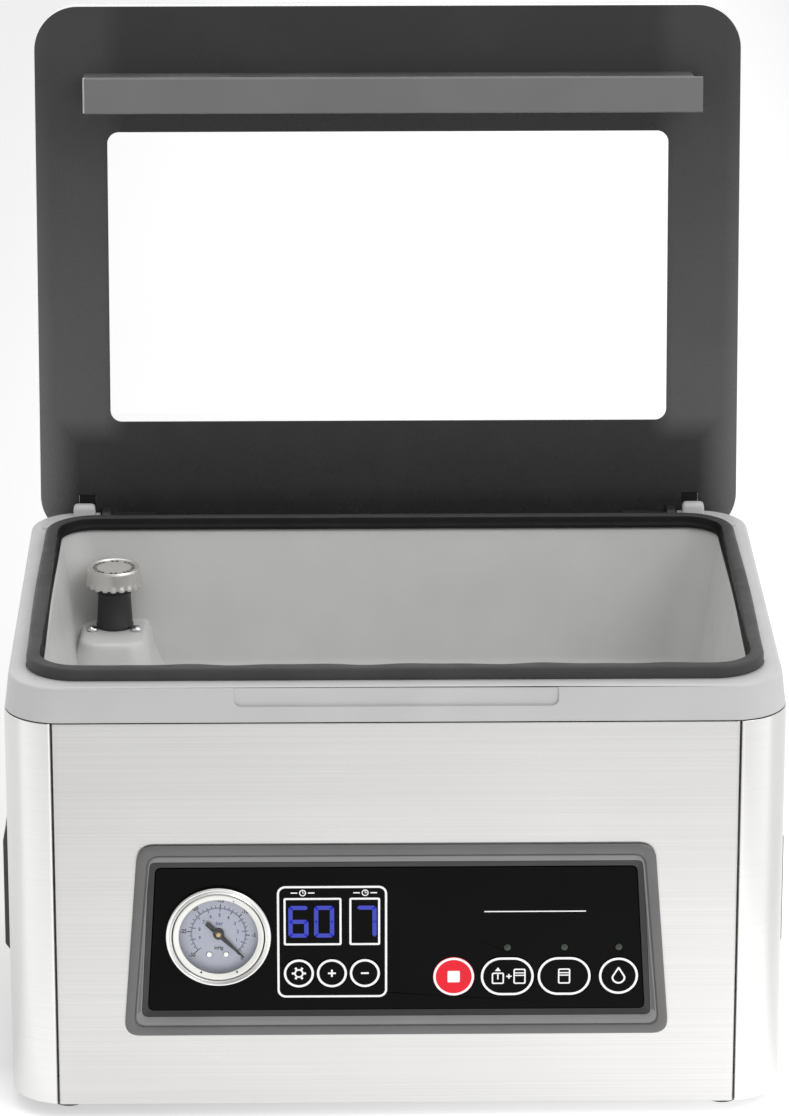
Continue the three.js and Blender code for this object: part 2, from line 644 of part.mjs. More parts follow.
function addControls() {
  const { front, thickness } = GLASS;
  const back = front + thickness;
  const cuts = Object.values(KEYS).map((key) => key(GAP, front - 1, back + 1));
  cuts.push(rod("y", GAUGE.case + GAP, front - 1, back + 1, GAUGE.x, GAUGE.z, 32));
  const [a, b, c, d] = DISPLAY.split;
  for (const [x0, x1] of [[a, b], [c, d]]) {
    cuts.push(block(x0, x1, front - 1, back + 1, DISPLAY.bottom, DISPLAY.top));
  }
  for (const x of LED.xs) cuts.push(rod("y", LED.radius + GAP, front - 1, back + 1, x, LED.z, 12));
  add("control_glass", "blackGloss", cut(plate(trapezoid(GLASS, 0, GLASS.round), front, back), ...cuts));

  const keyBack = front + KEY.thickness;
  for (const [name, key] of Object.entries(KEYS)) {
    const proud = 0.3;
    add(name, name === "key_cancel" ? "redKey" : "blackGloss", key(0, front - proud, keyBack));
  }

  const module = union(
    block(a + GAP, b - GAP, front + 0.4, front + 8, DISPLAY.bottom + GAP, DISPLAY.top - GAP),
    block(c + GAP, d - GAP, front + 0.4, front + 8, DISPLAY.bottom + GAP, DISPLAY.top - GAP),
    block(a - 2, d + 2, back + GAP, front + 8, DISPLAY.bottom - 2, DISPLAY.top + 2),
  );
  add("display_module", "display", module);

  const boardFront = front + 8 + GAP;
  const board = [block(-58, 113, boardFront, boardFront + 1.6, 62, 126)];
  for (const x of LED.xs) board.push(rod("y", LED.radius, front - 0.2, boardFront + 0.5, x, LED.z, 12));
  // A dome switch stands behind each key, clear of it by the key's travel.
  for (const key of Object.values(KEYS)) {
    const shape = geometryOf(key(0, 0, 1));
    shape.computeBoundingBox();
    const middle = shape.boundingBox.getCenter(new THREE.Vector3());
    board.push(rod("y", 2.5, keyBack + KEY.travel + GAP, boardFront + 0.5, middle.x, middle.z, 12));
  }
  add("control_board", "circuit", union(...board));
}

function addGauge() {
  const { x, z, ring, dial, case: caseRadius, depth } = GAUGE;
  const face = GLASS.front; // profile heights below are measured from here towards the front
  const cup = [
    [0, -depth], [caseRadius, -depth], [caseRadius, 0.4], [caseRadius - 1.5, 0.4],
    [caseRadius - 1.5, -depth + 6], [0, -depth + 6],
  ];
  const port = rod("y", 3.5, face + depth - 1, face + depth + 9, x, z, 16);
  add("gauge_case", "blackSheet", union(turnedForward(cup, x, face, z, 32), port));
  const movement = [
    [0, -depth + 6 + GAP], [12, -depth + 6 + GAP], [12, -4.4], [2.4, -4.4], [2.4, -2.9], [0.8, -2.9],
    [0.8, -0.6], [0, -0.6],
  ];
  add("gauge_movement", "copper", turnedForward(movement, x, face, z, 16));
  const plateOfDial = [
    [2.8, -4], [caseRadius - 1.9, -4], [caseRadius - 1.9, -3.2], [2.8, -3.2], [2.8, -4],
  ];
  add("gauge_dial", "dialFace", turnedForward(plateOfDial, x, face, z, 32));
  const hub = [[1.1, -2.6], [2.6, -2.6], [2.6, -1.2], [1.1, -1.2], [1.1, -2.6]];
  const blade = [[-1, -8.2], [1, -8.2], [1.3, 0], [0.25, 17.4], [-0.25, 17.4], [-1.3, 0]];
  const pointer = plate(blade, -0.3, 0.3);
  const needle = union(
    turnedForward(hub, 0, 0, 0, 12),
    pointer.translate([0, 2, 0]).subtract(rod("y", 1.1, -5, 5, 0, 0, 12)),
  );
  const turn = new THREE.Group();
  turn.position.set(x, face, z);
  turn.rotation.y = THREE.MathUtils.degToRad(NEEDLE_REST);
  model.add(turn);
  add("gauge_needle", "blackSheet", needle, turn);
  const lens = [[0, -0.1], [caseRadius - 1.9, -0.1], [caseRadius - 1.9, 1.4], [0, 1.4]];
  add("gauge_lens", "clear", turnedForward(lens, x, face, z, 32));
  const ringProfile = [
    [caseRadius - 1.4, 1.7], [caseRadius - 1.4, 0.7], [caseRadius + GAP, 0.7], [caseRadius + GAP, 0.3],
    [ring, 0.3], [ring, 2.2], [ring - 1.6, 3.2], [dial + 1.2, 2.6], [dial, 1.7], [caseRadius - 1.4, 1.7],
  ];
  add("gauge_ring", "chrome", turnedForward(ringProfile, x, face, z, 32));
}

// ---------------------------------------------------------------- side grips
function addGrips() {
  const { halfY, bottom, top, proud, depth } = GRIP;
  for (const [name, side] of [["side_grip_left", -1], ["side_grip_right", 1]]) {
    const face = BODY.halfX;
    const outline = [
      [face + GAP, bottom], [face + proud - 2.5, bottom], [face + proud, bottom + 3.5],
      [face + proud, top - 21], [face + proud - 0.8, top - 17], [face + 1, top], [face + GAP, top],
    ];
    const inner = [
      [face - depth, bottom + 5], [face + 1, bottom + 5], [face + 1, top - 8], [face - depth, top - 8],
    ];
    const shell = union(plate(outline, -halfY, halfY), plate(inner, -halfY + 4, halfY - 4));
    const pocket = block(
      face - depth + 2.5, face + proud + 1, -halfY + 8, halfY - 8, bottom + 8, bottom + 52,
    );
    const ends = [-1, 1].map((end) => {
      const wedge = block(face + 1.5, face + proud + 3, 0, 6, bottom - 1, top + 1);
      return wedge.rotate([0, 0, end * -35]).translate([5.2, end * (halfY - 3), 0]);
    });
    const grip = cut(shell, pocket, ...ends);
    add(name, "darkPlastic", side < 0 ? grip.mirror([1, 0, 0]) : grip);
  }
}

// ---------------------------------------------------------------- rear fittings
function addRearFittings() {
  const face = BODY.halfY;
  const inlet = cut(
    union(
      block(INLET.x - 17, INLET.x + 17, face + GAP, face + 2.4, INLET.z - 14, INLET.z + 14),
      block(
        INLET.x - INLET.halfX + GAP, INLET.x + INLET.halfX - GAP, face - 22, face + 1,
        INLET.z - INLET.halfZ + GAP, INLET.z + INLET.halfZ - GAP,
      ),
    ),
    block(INLET.x - 12, INLET.x + 12, face - 16, face + 3, INLET.z - 8.5, INLET.z + 8.5),
  );
  const blades = [[-7, -1.5], [0, 2.5], [7, -1.5]].map(([dx, dz]) =>
    block(INLET.x + dx - 1, INLET.x + dx + 1, face - 17, face - 3, INLET.z + dz - 2, INLET.z + dz + 2),
  );
  add("mains_inlet", "blackSheet", union(inlet, ...blades));

  const housing = cut(
    union(
      block(SWITCH.x - 13.5, SWITCH.x + 13.5, face + GAP, face + 2.4, SWITCH.z - 10.5, SWITCH.z + 10.5),
      block(
        SWITCH.x - SWITCH.halfX + GAP, SWITCH.x + SWITCH.halfX - GAP, face - 20, face + 1,
        SWITCH.z - SWITCH.halfZ + GAP, SWITCH.z + SWITCH.halfZ - GAP,
      ),
    ),
    block(SWITCH.x - 9.4, SWITCH.x + 9.4, face - 12, face + 3, SWITCH.z - 6.2, SWITCH.z + 6.2),
  );
  add("switch_housing", "blackSheet", housing);
  const outline = [[-8.6, 6.6], [0, 5.2], [8.6, 6.6], [8.6, 3], [5, -2.5], [-5, -2.5], [-8.6, 3]];
  const shape = new THREE.Shape(outline.map(([x, y]) => new THREE.Vector2(x, y)));
  const rocker = new THREE.ExtrudeGeometry(shape, { depth: 11.4, bevelEnabled: false });
  rocker.translate(0, 0, -5.7);
  rocker.rotateZ(-THREE.MathUtils.degToRad(SWITCH.tip));
  rocker.translate(SWITCH.x, face - SWITCH.pinDepth, SWITCH.z);
  add("power_rocker", "blackGloss", solid(rocker));
}

// ---------------------------------------------------------------- works under the chamber
function addWorks() {
  const floor = BODY.bottom + 1.6 + GAP;
  const pump = { x0: -120, x1: -52, y: 40, axisZ: 58 };
  const pumpBody = union(
    block(pump.x0, pump.x1, pump.y - 38, pump.y + 38, floor + 4, 92),
    block(pump.x0 + 8, pump.x1 - 8, pump.y - 26, pump.y + 26, 90, 112),
    block(pump.x0 + 5, pump.x1 - 5, pump.y - 42, pump.y + 42, floor, floor + 5),
    rod("z", 4, 110, 122, pump.x0 + 20, pump.y, 16),
  );
  add("vacuum_pump", "aluminium", pumpBody);
  const motor = union(
    rod("x", 34, pump.x1 + GAP, pump.x1 + 86, pump.y, pump.axisZ),
    block(pump.x1 + 12, pump.x1 + 72, pump.y - 26, pump.y + 26, floor, pump.axisZ),
    rod("x", 3, pump.x1 + 80, pump.x1 + 102, pump.y, pump.axisZ, 16),
  );
  add("pump_motor", "blackSheet", motor);
  addFan(pump.x1 + 90, pump.y, pump.axisZ);

  const core = union(
    block(88, 158, 50, 112, floor + 2, floor + 60),
    block(98, 148, 38, 124, floor + 12, floor + 50),
    block(80, 166, 50, 112, floor, floor + 3),
  );
  add("transformer", "copper", core);

  const posts = [[28, -87], [157, -87], [28, -3], [157, -3]];
  const board = union(
    block(20, 165, -95, 5, floor + 8, floor + 9.6),
    block(40, 75, -70, -40, floor + 9, floor + 34),
    rod("z", 9, floor + 9, floor + 36, 100, -60, 16),
    block(120, 150, -80, -30, floor + 9, floor + 29),
    ...posts.map(([x, y]) => rod("z", 3.5, floor, floor + 9, x, y, 12)),
  );
  add("power_board", "circuit", board);

  const valves = union(
    block(-165, -105, -85, -45, floor, floor + 24),
    block(-160, -138, -79, -51, floor + 22, floor + 58),
    block(-132, -110, -79, -51, floor + 22, floor + 58),
    rod("z", 4, floor + 56, floor + 66, -149, -65, 16),
  );
  add("valve_block", "aluminium", valves);

  const vacuumEnd = CHAMBER.floor - 14 - GAP;
  add("vacuum_hose", "rubber", hose([
    [pump.x0 + 20, pump.y, 122.3], [pump.x0 + 20, pump.y, 127], [-107, 51, 133], [-122, 73, 125],
    [-137, 90, 116], [SUCTION.x, SUCTION.y, 122], [SUCTION.x, SUCTION.y, vacuumEnd],
  ], 3.6, 18));
  add("gauge_hose", "rubber", hose([
    [GAUGE.x, GLASS.front + GAUGE.depth + 9.3, GAUGE.z], [GAUGE.x, -100, GAUGE.z], [-98, -82, 102],
    [-124, -70, 106], [-143, -65, 98], [-149, -65, 88], [-149, -65, floor + 66.3],
  ], 3, 16));
}

// Six blades between a hub and a shroud ring.
function addFan(x, y, z) {
  const width = 9;
  const parts = [
    cut(rod("x", 31, x, x + width, y, z), rod("x", 29, x - 1, x + width + 1, y, z)),
    rod("x", 8, x, x + width, y, z, 16),
  ];
  for (let i = 0; i < 6; i++) {
    const blade = block(-width / 2 + 0.5, width / 2 - 0.5, -1, 1, 6, 30);
    const twisted = blade.rotate([0, 0, 40]).rotate([i * 60, 0, 0]);
    parts.push(twisted.translate([x + width / 2, y, z]).intersect(rod("x", 30, x, x + width, y, z)));
  }
  const bore = rod("x", 3 + GAP, x - 1, x + width + 1, y, z, 16);
  add("fan_wheel", "darkPlastic", cut(union(...parts), bore));
}

addBasePlate();
addFeet();
addSteelPanels();
addTopRim();
addChamberTub();
addGasket();
addSuctionPort();
addSealBar();
addLid();
addPressStrip();
addHinges();
addBezel();
addControls();
addGauge();
addGrips();
addRearFittings();
addWorks();

// The origin is under the middle of the whole object as it stands with its lid open.
const lean = THREE.MathUtils.degToRad(LID.openDegrees - 90);
const lidBack = HINGE.y + (UNDERSIDE + LID.thickness) * Math.cos(lean) - LID.front * Math.sin(lean);
const front = GLASS.front - 3.2;
model.position.y = -(lidBack + front) / 2;

const assembly = new THREE.Group();
assembly.add(model);
export default assembly;
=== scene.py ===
import math

import bmesh
import bpy
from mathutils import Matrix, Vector

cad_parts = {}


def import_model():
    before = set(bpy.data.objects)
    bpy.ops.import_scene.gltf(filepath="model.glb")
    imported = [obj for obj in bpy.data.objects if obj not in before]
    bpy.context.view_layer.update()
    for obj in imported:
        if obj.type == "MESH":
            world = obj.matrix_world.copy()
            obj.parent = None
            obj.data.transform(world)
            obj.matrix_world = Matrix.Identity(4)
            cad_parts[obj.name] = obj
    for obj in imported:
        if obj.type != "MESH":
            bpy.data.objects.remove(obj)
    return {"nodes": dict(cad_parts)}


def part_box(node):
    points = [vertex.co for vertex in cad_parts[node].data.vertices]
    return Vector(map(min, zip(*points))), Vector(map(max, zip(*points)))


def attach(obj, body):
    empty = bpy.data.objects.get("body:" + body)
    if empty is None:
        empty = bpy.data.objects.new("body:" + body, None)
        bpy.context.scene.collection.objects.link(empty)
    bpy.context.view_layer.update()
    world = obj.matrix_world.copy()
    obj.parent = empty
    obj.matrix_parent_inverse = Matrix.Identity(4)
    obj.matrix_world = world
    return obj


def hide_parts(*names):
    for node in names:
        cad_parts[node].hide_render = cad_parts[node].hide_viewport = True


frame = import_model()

bpy.context.view_layer.update()

# ------------------------------------------------ sizes in millimetres, from the middle of the body
MM = 0.001
BODY = {"half_x": 190.0, "half_y": 140.5, "corner": 28.0, "bottom": 8.0, "top": 206.9, "sheet": 1.2}
RIM = {
    "bottom": 207.4, "top": 225.0, "ledge_top": 221.7, "ledge_bottom": 218.5, "wall": 3.0,
    "inset": 0.4, "round": 2.2, "round_in": 2.0,
}
RECESS = {"half_x": 78.2, "bottom": 215.0, "corner": 3.5, "front": 0.9, "depth": 1.4}
GRIP_CUT = {"half_y": 45.0, "bottom": 55.0, "top": 127.0, "depth": 6.0}
CHAMBER = {
    "y": -7.3, "half_x": 171.2, "half_y": 115.2, "corner": 16.0, "top": 225.0, "floor": 146.0, "wall": 3.0,
    "lip": 2.6, "fillet": 13.0, "draft": 9.5, "floor_corner": 25.0,
}
GASKET = {"half_x": 179.3, "half_y": 122.3, "corner": 26.0, "base": 225.3}
HINGE = {"y": 133.5, "z": 222.0, "x": 160.9}
HINGE_ROOM = {"half_x": 152.5, "floor": 212.0}
LID = {"half_x": 184.7, "front": -270.7, "back": 11.5, "corner": 23.0, "thickness": 20.0, "open": 97.0}
UNDERSIDE = 9.5
NOTCH = {"half_x": 4.4, "shift": 1.3, "front": -12.0, "back": 1.5, "depth": 3.0}
WINDOW = {"half_x": 146.9, "front": -204.7, "back": -51.2, "corner": 6.0}
PRESS = {"half_x": 158.5, "y": -226.4, "width": 18.6, "depth": 26.0, "pad": 3.0, "wall": 2.0}
SEAL = {"half_x": 156.0, "top": 196.0}
SUCTION = {
    "x": -144.0, "y": 89.5, "boss": 178.0, "cap_bottom": 201.0, "cap_top": 211.0,
    "screw_x": 11.4, "screw_y": -7.0,
}
PANEL = {"bottom": 45.4, "top": 144.4, "half_bottom": 133.2, "half_top": 125.4}
GLASS = {"bottom": 58.4, "top": 132.5, "half_bottom": 121.2, "half_top": 116.6}
GLASS_FRONT = -141.0
BEZEL_FRONT = -143.1
GAUGE = {"x": -86.7, "z": 97.3}
KEY_FACE = -141.3
PRINT_FRONT = KEY_FACE - 0.05
PRINT_DEPTH = 0.12
LEDS = {"x": (54.2, 82.0, 108.6), "z": 90.4}
DIGITS = ((-47.7, "acdefg"), (-35.2, "abcdef"), (-14.5, "abc"))
DIGIT_Z = 104.3
# Each key: the middles of its left and right ends, its height and its radius.
KEYS = {
    "key_set": (-47.6, -47.6, 77.4, 7.6),
    "key_plus": (-31.5, -31.5, 77.4, 7.6),
    "key_minus": (-15.4, -15.4, 77.4, 7.6),
    "key_cancel": (28.0, 28.0, 75.3, 10.2),
    "key_vacuum_seal": (51.2, 57.2, 75.3, 10.2),
    "key_seal": (79.0, 85.0, 75.3, 10.2),
    "key_marinate": (108.6, 108.6, 75.3, 9.8),
}
# How far the body's middle is from the frame's origin.
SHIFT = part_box("front_panel")[0].y / MM + BODY["half_y"]
STEPS = 14

# In the frame's metres: [start, end, value at start, value at end] for what changes along an axis.
# The lid's painted sheen: where its dark print is painted paler, beside the window, along the border and
# towards the lower corners.
LID_SHEEN_RANGES = {
    "beside": (0.138, 0.15, 0, 0.62), "above": (0.26, 0.274, 0, 1),
    "border": (0.164, 0.184, 0, 1), "lower": (0.45, 0.26, 0.25, 1),
}
GLOW_ACROSS = ((-0.3, 0.3, 0.3, 0.62), (0.2, 0.45, 0.62, 0.3))
GLOW_ALONG = ((-0.75, -0.2, 0.85, 1.9), (-0.19, -0.1, 1.9, 0.9))
SKY_BACK = (-0.6, 0.2, 0, 1)
SKY_FRONT = (-0.25, 0.25, 0.5, 0.85)

# The camera aims at a place in the body's millimetres; its distance is in metres, its angles in degrees.
CAMERA = {
    "target": (1.05, 0, 244.26), "distance": 2.672, "azimuth": -0.8, "elevation": 18.226, "lens": 171.04,
}


# ------------------------------------------------------------ points and faces
def to_frame(point):
    x, y, z = point
    return Vector((x, y + SHIFT, z)) * MM


def open_lid(point):
    """A point of the closed lid, measured from the hinge pin, where it is with the lid open."""
    x, y, z = point
    turn = -math.radians(LID["open"])
    return (
        x,
        HINGE["y"] + y * math.cos(turn) - z * math.sin(turn),
        HINGE["z"] + y * math.sin(turn) + z * math.cos(turn),
    )


def quarter(radius, start, x, y, steps):
    """Points along a quarter circle, anticlockwise from an angle in degrees."""
    turns = [math.radians(start + 90 * i / steps) for i in range(steps + 1)]
    return [(x + radius * math.cos(a), y + radius * math.sin(a)) for a in turns]


def rounded(half_x, half_y, corner, x=0.0, y=0.0, steps=STEPS):
    points = []
    for sign_x, sign_y, start in ((1, 1, 0), (-1, 1, 90), (-1, -1, 180), (1, -1, 270)):
        middle = x + sign_x * (half_x - corner), y + sign_y * (half_y - corner)
        points += quarter(corner, start, *middle, steps)
    return points


def edge_round(first=1, count=5):
    """Steps round an edge: how far up and how far in they lie, as shares of its radius."""
    turns = [math.radians(90 * i / count) for i in range(first, count + 1)]
    return [(math.sin(a), 1 - math.cos(a)) for a in turns]


def full_turn(steps):
    return [math.tau * i / steps for i in range(steps)]


def clock(radius, degrees, x, z):
    """A point on a circle, clockwise from the top."""
    a = math.radians(degrees)
    return x + radius * math.sin(a), z + radius * math.cos(a)


def turned(points, degrees, x, z):
    """Flat points turned anticlockwise and moved to a place."""
    a = math.radians(degrees)
    return [(x + u * math.cos(a) - v * math.sin(a), z + u * math.sin(a) + v * math.cos(a)) for u, v in points]


def circle(radius, x, z, steps=10):
    return rounded(radius, radius, radius, x, z, steps)


def box_outline(x0, x1, z0, z1, corner, steps=4):
    return rounded((x1 - x0) / 2, (z1 - z0) / 2, corner, (x0 + x1) / 2, (z0 + z1) / 2, steps)


def flat(outline, z):
    return [(x, y, z) for x, y in outline]


def upright(outline, y):
    return [(x, y, z) for x, z in outline]


def crosswise(outline, x):
    return [(x, y, z) for y, z in outline]


def tube(rings, around=False):
    """Faces between rings of points, closed by a face at each end or joined round into a loop."""
    size, count = len(rings[0]), len(rings)
    points = [p for ring in rings for p in ring]
    faces = []
    for r in range(count if around else count - 1):
        low, high = r * size, ((r + 1) % count) * size
        for i in range(size):
            j = (i + 1) % size
            faces.append((low + i, low + j, high + j, high + i))
    if not around:
        faces.append(tuple(range(size)))
        faces.append(tuple(range((count - 1) * size, count * size)))
    return points, faces


def block(x0, x1, y0, y1, z0, z1):
    outline = [(x0, y0), (x1, y0), (x1, y1), (x0, y1)]
    return tube([flat(outline, z0), flat(outline, z1)])


def slab(z0, z1, half_x, half_y, corner, x=0.0, y=0.0):
    outline = rounded(half_x, half_y, corner, x, y)
    return tube([flat(outline, z0), flat(outline, z1)])


def prism(outline, y0, y1):
    return tube([upright(outline, y1), upright(outline, y0)])


def frame_of(outer, inner, y0, y1):
    """A flat ring between two outlines with the same number of points."""
    rings = [upright(outer, y0), upright(inner, y0), upright(inner, y1), upright(outer, y1)]
    return tube(rings, around=True)


def lathe(profile, x, y, steps=48, around=False, wave=None):
    """A turned shape on a vertical axis from [radius, z] points; wave may change a radius."""
    rings = []
    for radius, z in profile:
        ring = []
        for a in full_turn(steps):
            r = wave(radius, z, a) if wave else radius
            ring.append((x + r * math.cos(a), y + r * math.sin(a), z))
        rings.append(ring)
    return tube(rings, around)


def lathe_forward(profile, x, y, z, steps=64, around=False):
    """A turned shape on an axis along Y; profile heights run towards the front."""
    turns = full_turn(steps)
    rings = []
    for radius, height in profile:
        rings.append([(x + radius * math.cos(a), y - height, z + radius * math.sin(a)) for a in turns])
    return tube(rings, around)


def rod_x(radius, x0, x1, y, z, steps=32):
    section = [(y + radius * math.cos(a), z + radius * math.sin(a)) for a in full_turn(steps)]
    return tube([crosswise(section, x) for x in (x0, x1)])


def trapezoid(spec, grow, corner, steps=6):
    """The control panel's outline in x and z, wider at the bottom, with rounded corners."""
    low, high = spec["half_bottom"] + grow, spec["half_top"] + grow
    bottom, top = spec["bottom"] - grow, spec["top"] + grow
    corners = [(-low, bottom), (low, bottom), (high, top), (-high, top)]
    points = []
    for i, corner_at in enumerate(corners):
        here = Vector(corner_at)
        before = here + (Vector(corners[i - 1]) - here).normalized() * corner
        after = here + (Vector(corners[(i + 1) % 4]) - here).normalized() * corner
        for step in range(steps + 1):
            t = step / steps
            at = before * (1 - t) ** 2 + here * 2 * t * (1 - t) + after * t ** 2
            points.append((at.x, at.y))
    return points


def lettering(text, size, x, y, z, weight=0.0, squeeze=1.0):
    """Figures printed on a front-facing surface, centred on x and z; weight thickens their strokes."""
    curve = bpy.data.curves.new("figures", "FONT")
    curve.body = text
    curve.size = size
    curve.extrude = 0.03
    curve.offset = weight
    curve.resolution_u = 3
    curve.align_x = "CENTER"
    curve.align_y = "CENTER"
    made = bpy.data.objects.new("figures", curve)
    bpy.context.scene.collection.objects.link(made)
    graph = bpy.context.evaluated_depsgraph_get()
    mesh = bpy.data.meshes.new_from_object(made.evaluated_get(graph))
    points = [(x + v.co.x * squeeze, y - v.co.z, z + v.co.y) for v in mesh.vertices]
    faces = [tuple(face.vertices) for face in mesh.polygons]
    bpy.data.objects.remove(made)
    bpy.data.meshes.remove(mesh)
    bpy.data.curves.remove(curve)
    return points, faces


# ------------------------------------------------------------ objects
def mesh_of(name, parts, place=None):
    mesh = bpy.data.meshes.new(name)
    shape = bmesh.new()
    for points, faces in parts:
        made = [shape.verts.new(to_frame(place(p) if place else p)) for p in points]
        for face in faces:
            shape.faces.new([made[i] for i in face])
    bmesh.ops.remove_doubles(shape, verts=shape.verts, dist=5e-7)
    bmesh.ops.recalc_face_normals(shape, faces=shape.faces)
    shape.to_mesh(mesh)
    shape.free()
    return mesh


def link(name, mesh):
    made = bpy.data.objects.new(name, mesh)
    bpy.context.scene.collection.objects.link(made)
    return made


def combine(target, tool, operation):
    """Applies one solid to another and removes it."""
    modifier = target.modifiers.new("carve", "BOOLEAN")
    modifier.operation = operation
    modifier.solver = "EXACT"
    modifier.object = tool
    graph = bpy.context.evaluated_depsgraph_get()
    mesh = bpy.data.meshes.new_from_object(target.evaluated_get(graph))
    target.modifiers.clear()
    target.data = mesh
    bpy.data.objects.remove(tool)


def carve(target, tools, place=None, operation="DIFFERENCE"):
    for parts in tools:
        combine(target, link("tool", mesh_of("tool", [parts], place)), operation)


def piece(name, shape, finish, body="case", nodes=(), bevel=0.0, place=None, cuts=(), angle=35):
    """One visible piece, from parts or a finished object, with its material and the body it rides on."""
    made = shape if isinstance(shape, bpy.types.Object) else link(name, mesh_of(name, shape, place))
    made.name = name
    carve(made, cuts, place)
    made.data.shade_smooth()
    made.data.set_sharp_from_angle(angle=math.radians(angle))
    made.data.materials.clear()
    made.data.materials.append(finish)
    if bevel:
        soften(made, bevel, angle)
    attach(made, body)
    if nodes:
        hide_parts(*nodes)
    return made


def soften(target, width, angle=35):
    modifier = target.modifiers.new("edges", "BEVEL")
    modifier.width = width * MM
    modifier.segments = 3
    modifier.limit_method = "ANGLE"
    modifier.angle_limit = math.radians(angle)
    modifier.harden_normals = True
    modifier.use_clamp_overlap = True


def keep_node(name, finish, bevel=0.3):
    """A CAD node that stays in view, with joined points, rounded edges and its material."""
    node = frame["nodes"][name]
    mesh = node.data
    if "custom_normal" in mesh.attributes:
        mesh.attributes.remove(mesh.attributes["custom_normal"])
    mesh.shade_smooth()
    weld = node.modifiers.new("join", "WELD")
    weld.merge_threshold = 5e-6
    soften(node, bevel, 30)
    node.data.materials.clear()
    node.data.materials.append(finish)


# ------------------------------------------------------------ materials
def ranged(tree, value, start, end, low, high):
    """The value carried from one range to another and held at its ends."""
    node = tree.nodes.new("ShaderNodeMapRange")
    for socket, number in (("From Min", start), ("From Max", end), ("To Min", low), ("To Max", high)):
        node.inputs[socket].default_value = number
    tree.links.new(value, node.inputs["Value"])
    return node.outputs[0]


def rise_and_fall(tree, value, rise, fall):
    return calculated(tree, "MINIMUM", ranged(tree, value, *rise), ranged(tree, value, *fall))


def calculated(tree, operation, *values):
    """The result of one sum on numbers or on the outputs of other nodes."""
    node = tree.nodes.new("ShaderNodeMath")
    node.operation = operation
    for socket, value in zip(node.inputs, values):
        if isinstance(value, bpy.types.NodeSocket):
            tree.links.new(value, socket)
        else:
            socket.default_value = value
    return node.outputs[0]


def axes(tree, vector):
    node = tree.nodes.new("ShaderNodeSeparateXYZ")
    tree.links.new(vector, node.inputs[0])
    return node.outputs


class Finish:
    """A Principled material whose colour, roughness and bump are varied by noise in object space."""

    def __init__(self, name, color, roughness, metallic=0.0, **fixed):
        self.material = bpy.data.materials.new(name)
        self.material.use_nodes = True
        self.tree = self.material.node_tree
        self.shader = self.tree.nodes["Principled BSDF"]
        self.color = color
        self.roughness = roughness
        self.shader.inputs["Base Color"].default_value = (*color, 1)
        self.shader.inputs["Roughness"].default_value = roughness
        self.shader.inputs["Metallic"].default_value = metallic
        for socket, value in fixed.items():
            self.shader.inputs[socket.replace("_", " ")].default_value = value
        self.position = self.tree.nodes.new("ShaderNodeTexCoord").outputs["Object"]

    def noise(self, size, stretch=(1, 1, 1), detail=2.0):
        """Noise with features of about that size in millimetres, drawn out along the stretched axes."""
        mapping = self.tree.nodes.new("ShaderNodeMapping")
        mapping.inputs["Scale"].default_value = [1 / (size * MM * s) for s in stretch]
        self.tree.links.new(self.position, mapping.inputs["Vector"])
        noise = self.tree.nodes.new("ShaderNodeTexNoise")
        noise.inputs["Scale"].default_value = 1.0
        noise.inputs["Detail"].default_value = detail
        self.tree.links.new(mapping.outputs[0], noise.inputs["Vector"])
        return noise.outputs[0]

    def spread(self, factor, low, high):
        return ranged(self.tree, factor, 0.3, 0.7, low, high)

    def shades(self, factor, share):
        """Colour that runs from a little darker to a little lighter than the base colour."""
        dark = [c * (1 - share) for c in self.color]
        light = [min(1, c * (1 + share)) for c in self.color]
        self.blend(self.spread(factor, 0, 1), dark, light)
        return self

    def blend(self, factor, first, second):
        """Base colour that runs from the first colour to the second."""
        mix = self.tree.nodes.new("ShaderNodeMix")
        mix.data_type = "RGBA"
        mix.inputs[6].default_value = (*first, 1)
        mix.inputs[7].default_value = (*second, 1)
        self.tree.links.new(factor, mix.inputs[0])
        self.tree.links.new(mix.outputs[2], self.shader.inputs["Base Color"])

    def gloss(self, factor, share):
        rough = self.spread(factor, self.roughness * (1 - share), self.roughness * (1 + share))
        self.tree.links.new(rough, self.shader.inputs["Roughness"])
        return self

    def relief(self, factor, depth, strength=0.5):
        bump = self.tree.nodes.new("ShaderNodeBump")
        bump.inputs["Strength"].default_value = strength
        bump.inputs["Distance"].default_value = depth * MM
        self.tree.links.new(factor, bump.inputs["Height"])
        self.tree.links.new(bump.outputs[0], self.shader.inputs["Normal"])
        return self


def brushed(name, color, roughness, stretch, line=0.45, turned=True, contrast=0.05):
    """Metal with fine parallel brushing drawn out along the stretched axes."""
    made = Finish(name, color, roughness, 1.0, Anisotropic=0.6 if turned else 0.0)
    lines = made.noise(line, stretch, 3)
    made.shades(lines, contrast).gloss(made.noise(60, (1, 1, 1), 2), 0.12).relief(lines, 0.012, 0.25)
    if turned:
        tangent = made.tree.nodes.new("ShaderNodeTangent")
        tangent.direction_type = "RADIAL"
        tangent.axis = "Z"
        made.tree.links.new(tangent.outputs[0], made.shader.inputs["Tangent"])
    return made.material


def moulded(name, color, roughness, depth=0.03, share=0.03, size=0.8, **fixed):
    """Moulded plastic or rubber: a fine even texture and faint clouds of colour."""
    made = Finish(name, color, roughness, 0.0, **fixed)
    made.shades(made.noise(35, (1, 1, 1), 3), share)
    made.gloss(made.noise(12, (1, 1, 1), 3), 0.12)
    return made.relief(made.noise(size, (1, 1, 1), 2), depth, 0.4).material


def polished(name, color, roughness, metallic=0.0, share=0.02, **fixed):
    """A smooth glossy surface with faint smears."""
    made = Finish(name, color, roughness, metallic, **fixed)
    made.shades(made.noise(25, (1, 1, 1), 2), share)
    return made.gloss(made.noise(18, (1, 1.6, 1), 4), 0.25).material


def clear(name, color, roughness=0.02, ior=1.49):
    made = Finish(name, color, roughness, 0.0, IOR=ior, Transmission_Weight=1.0)
    return made.gloss(made.noise(40, (1, 1, 1), 2), 0.3).material


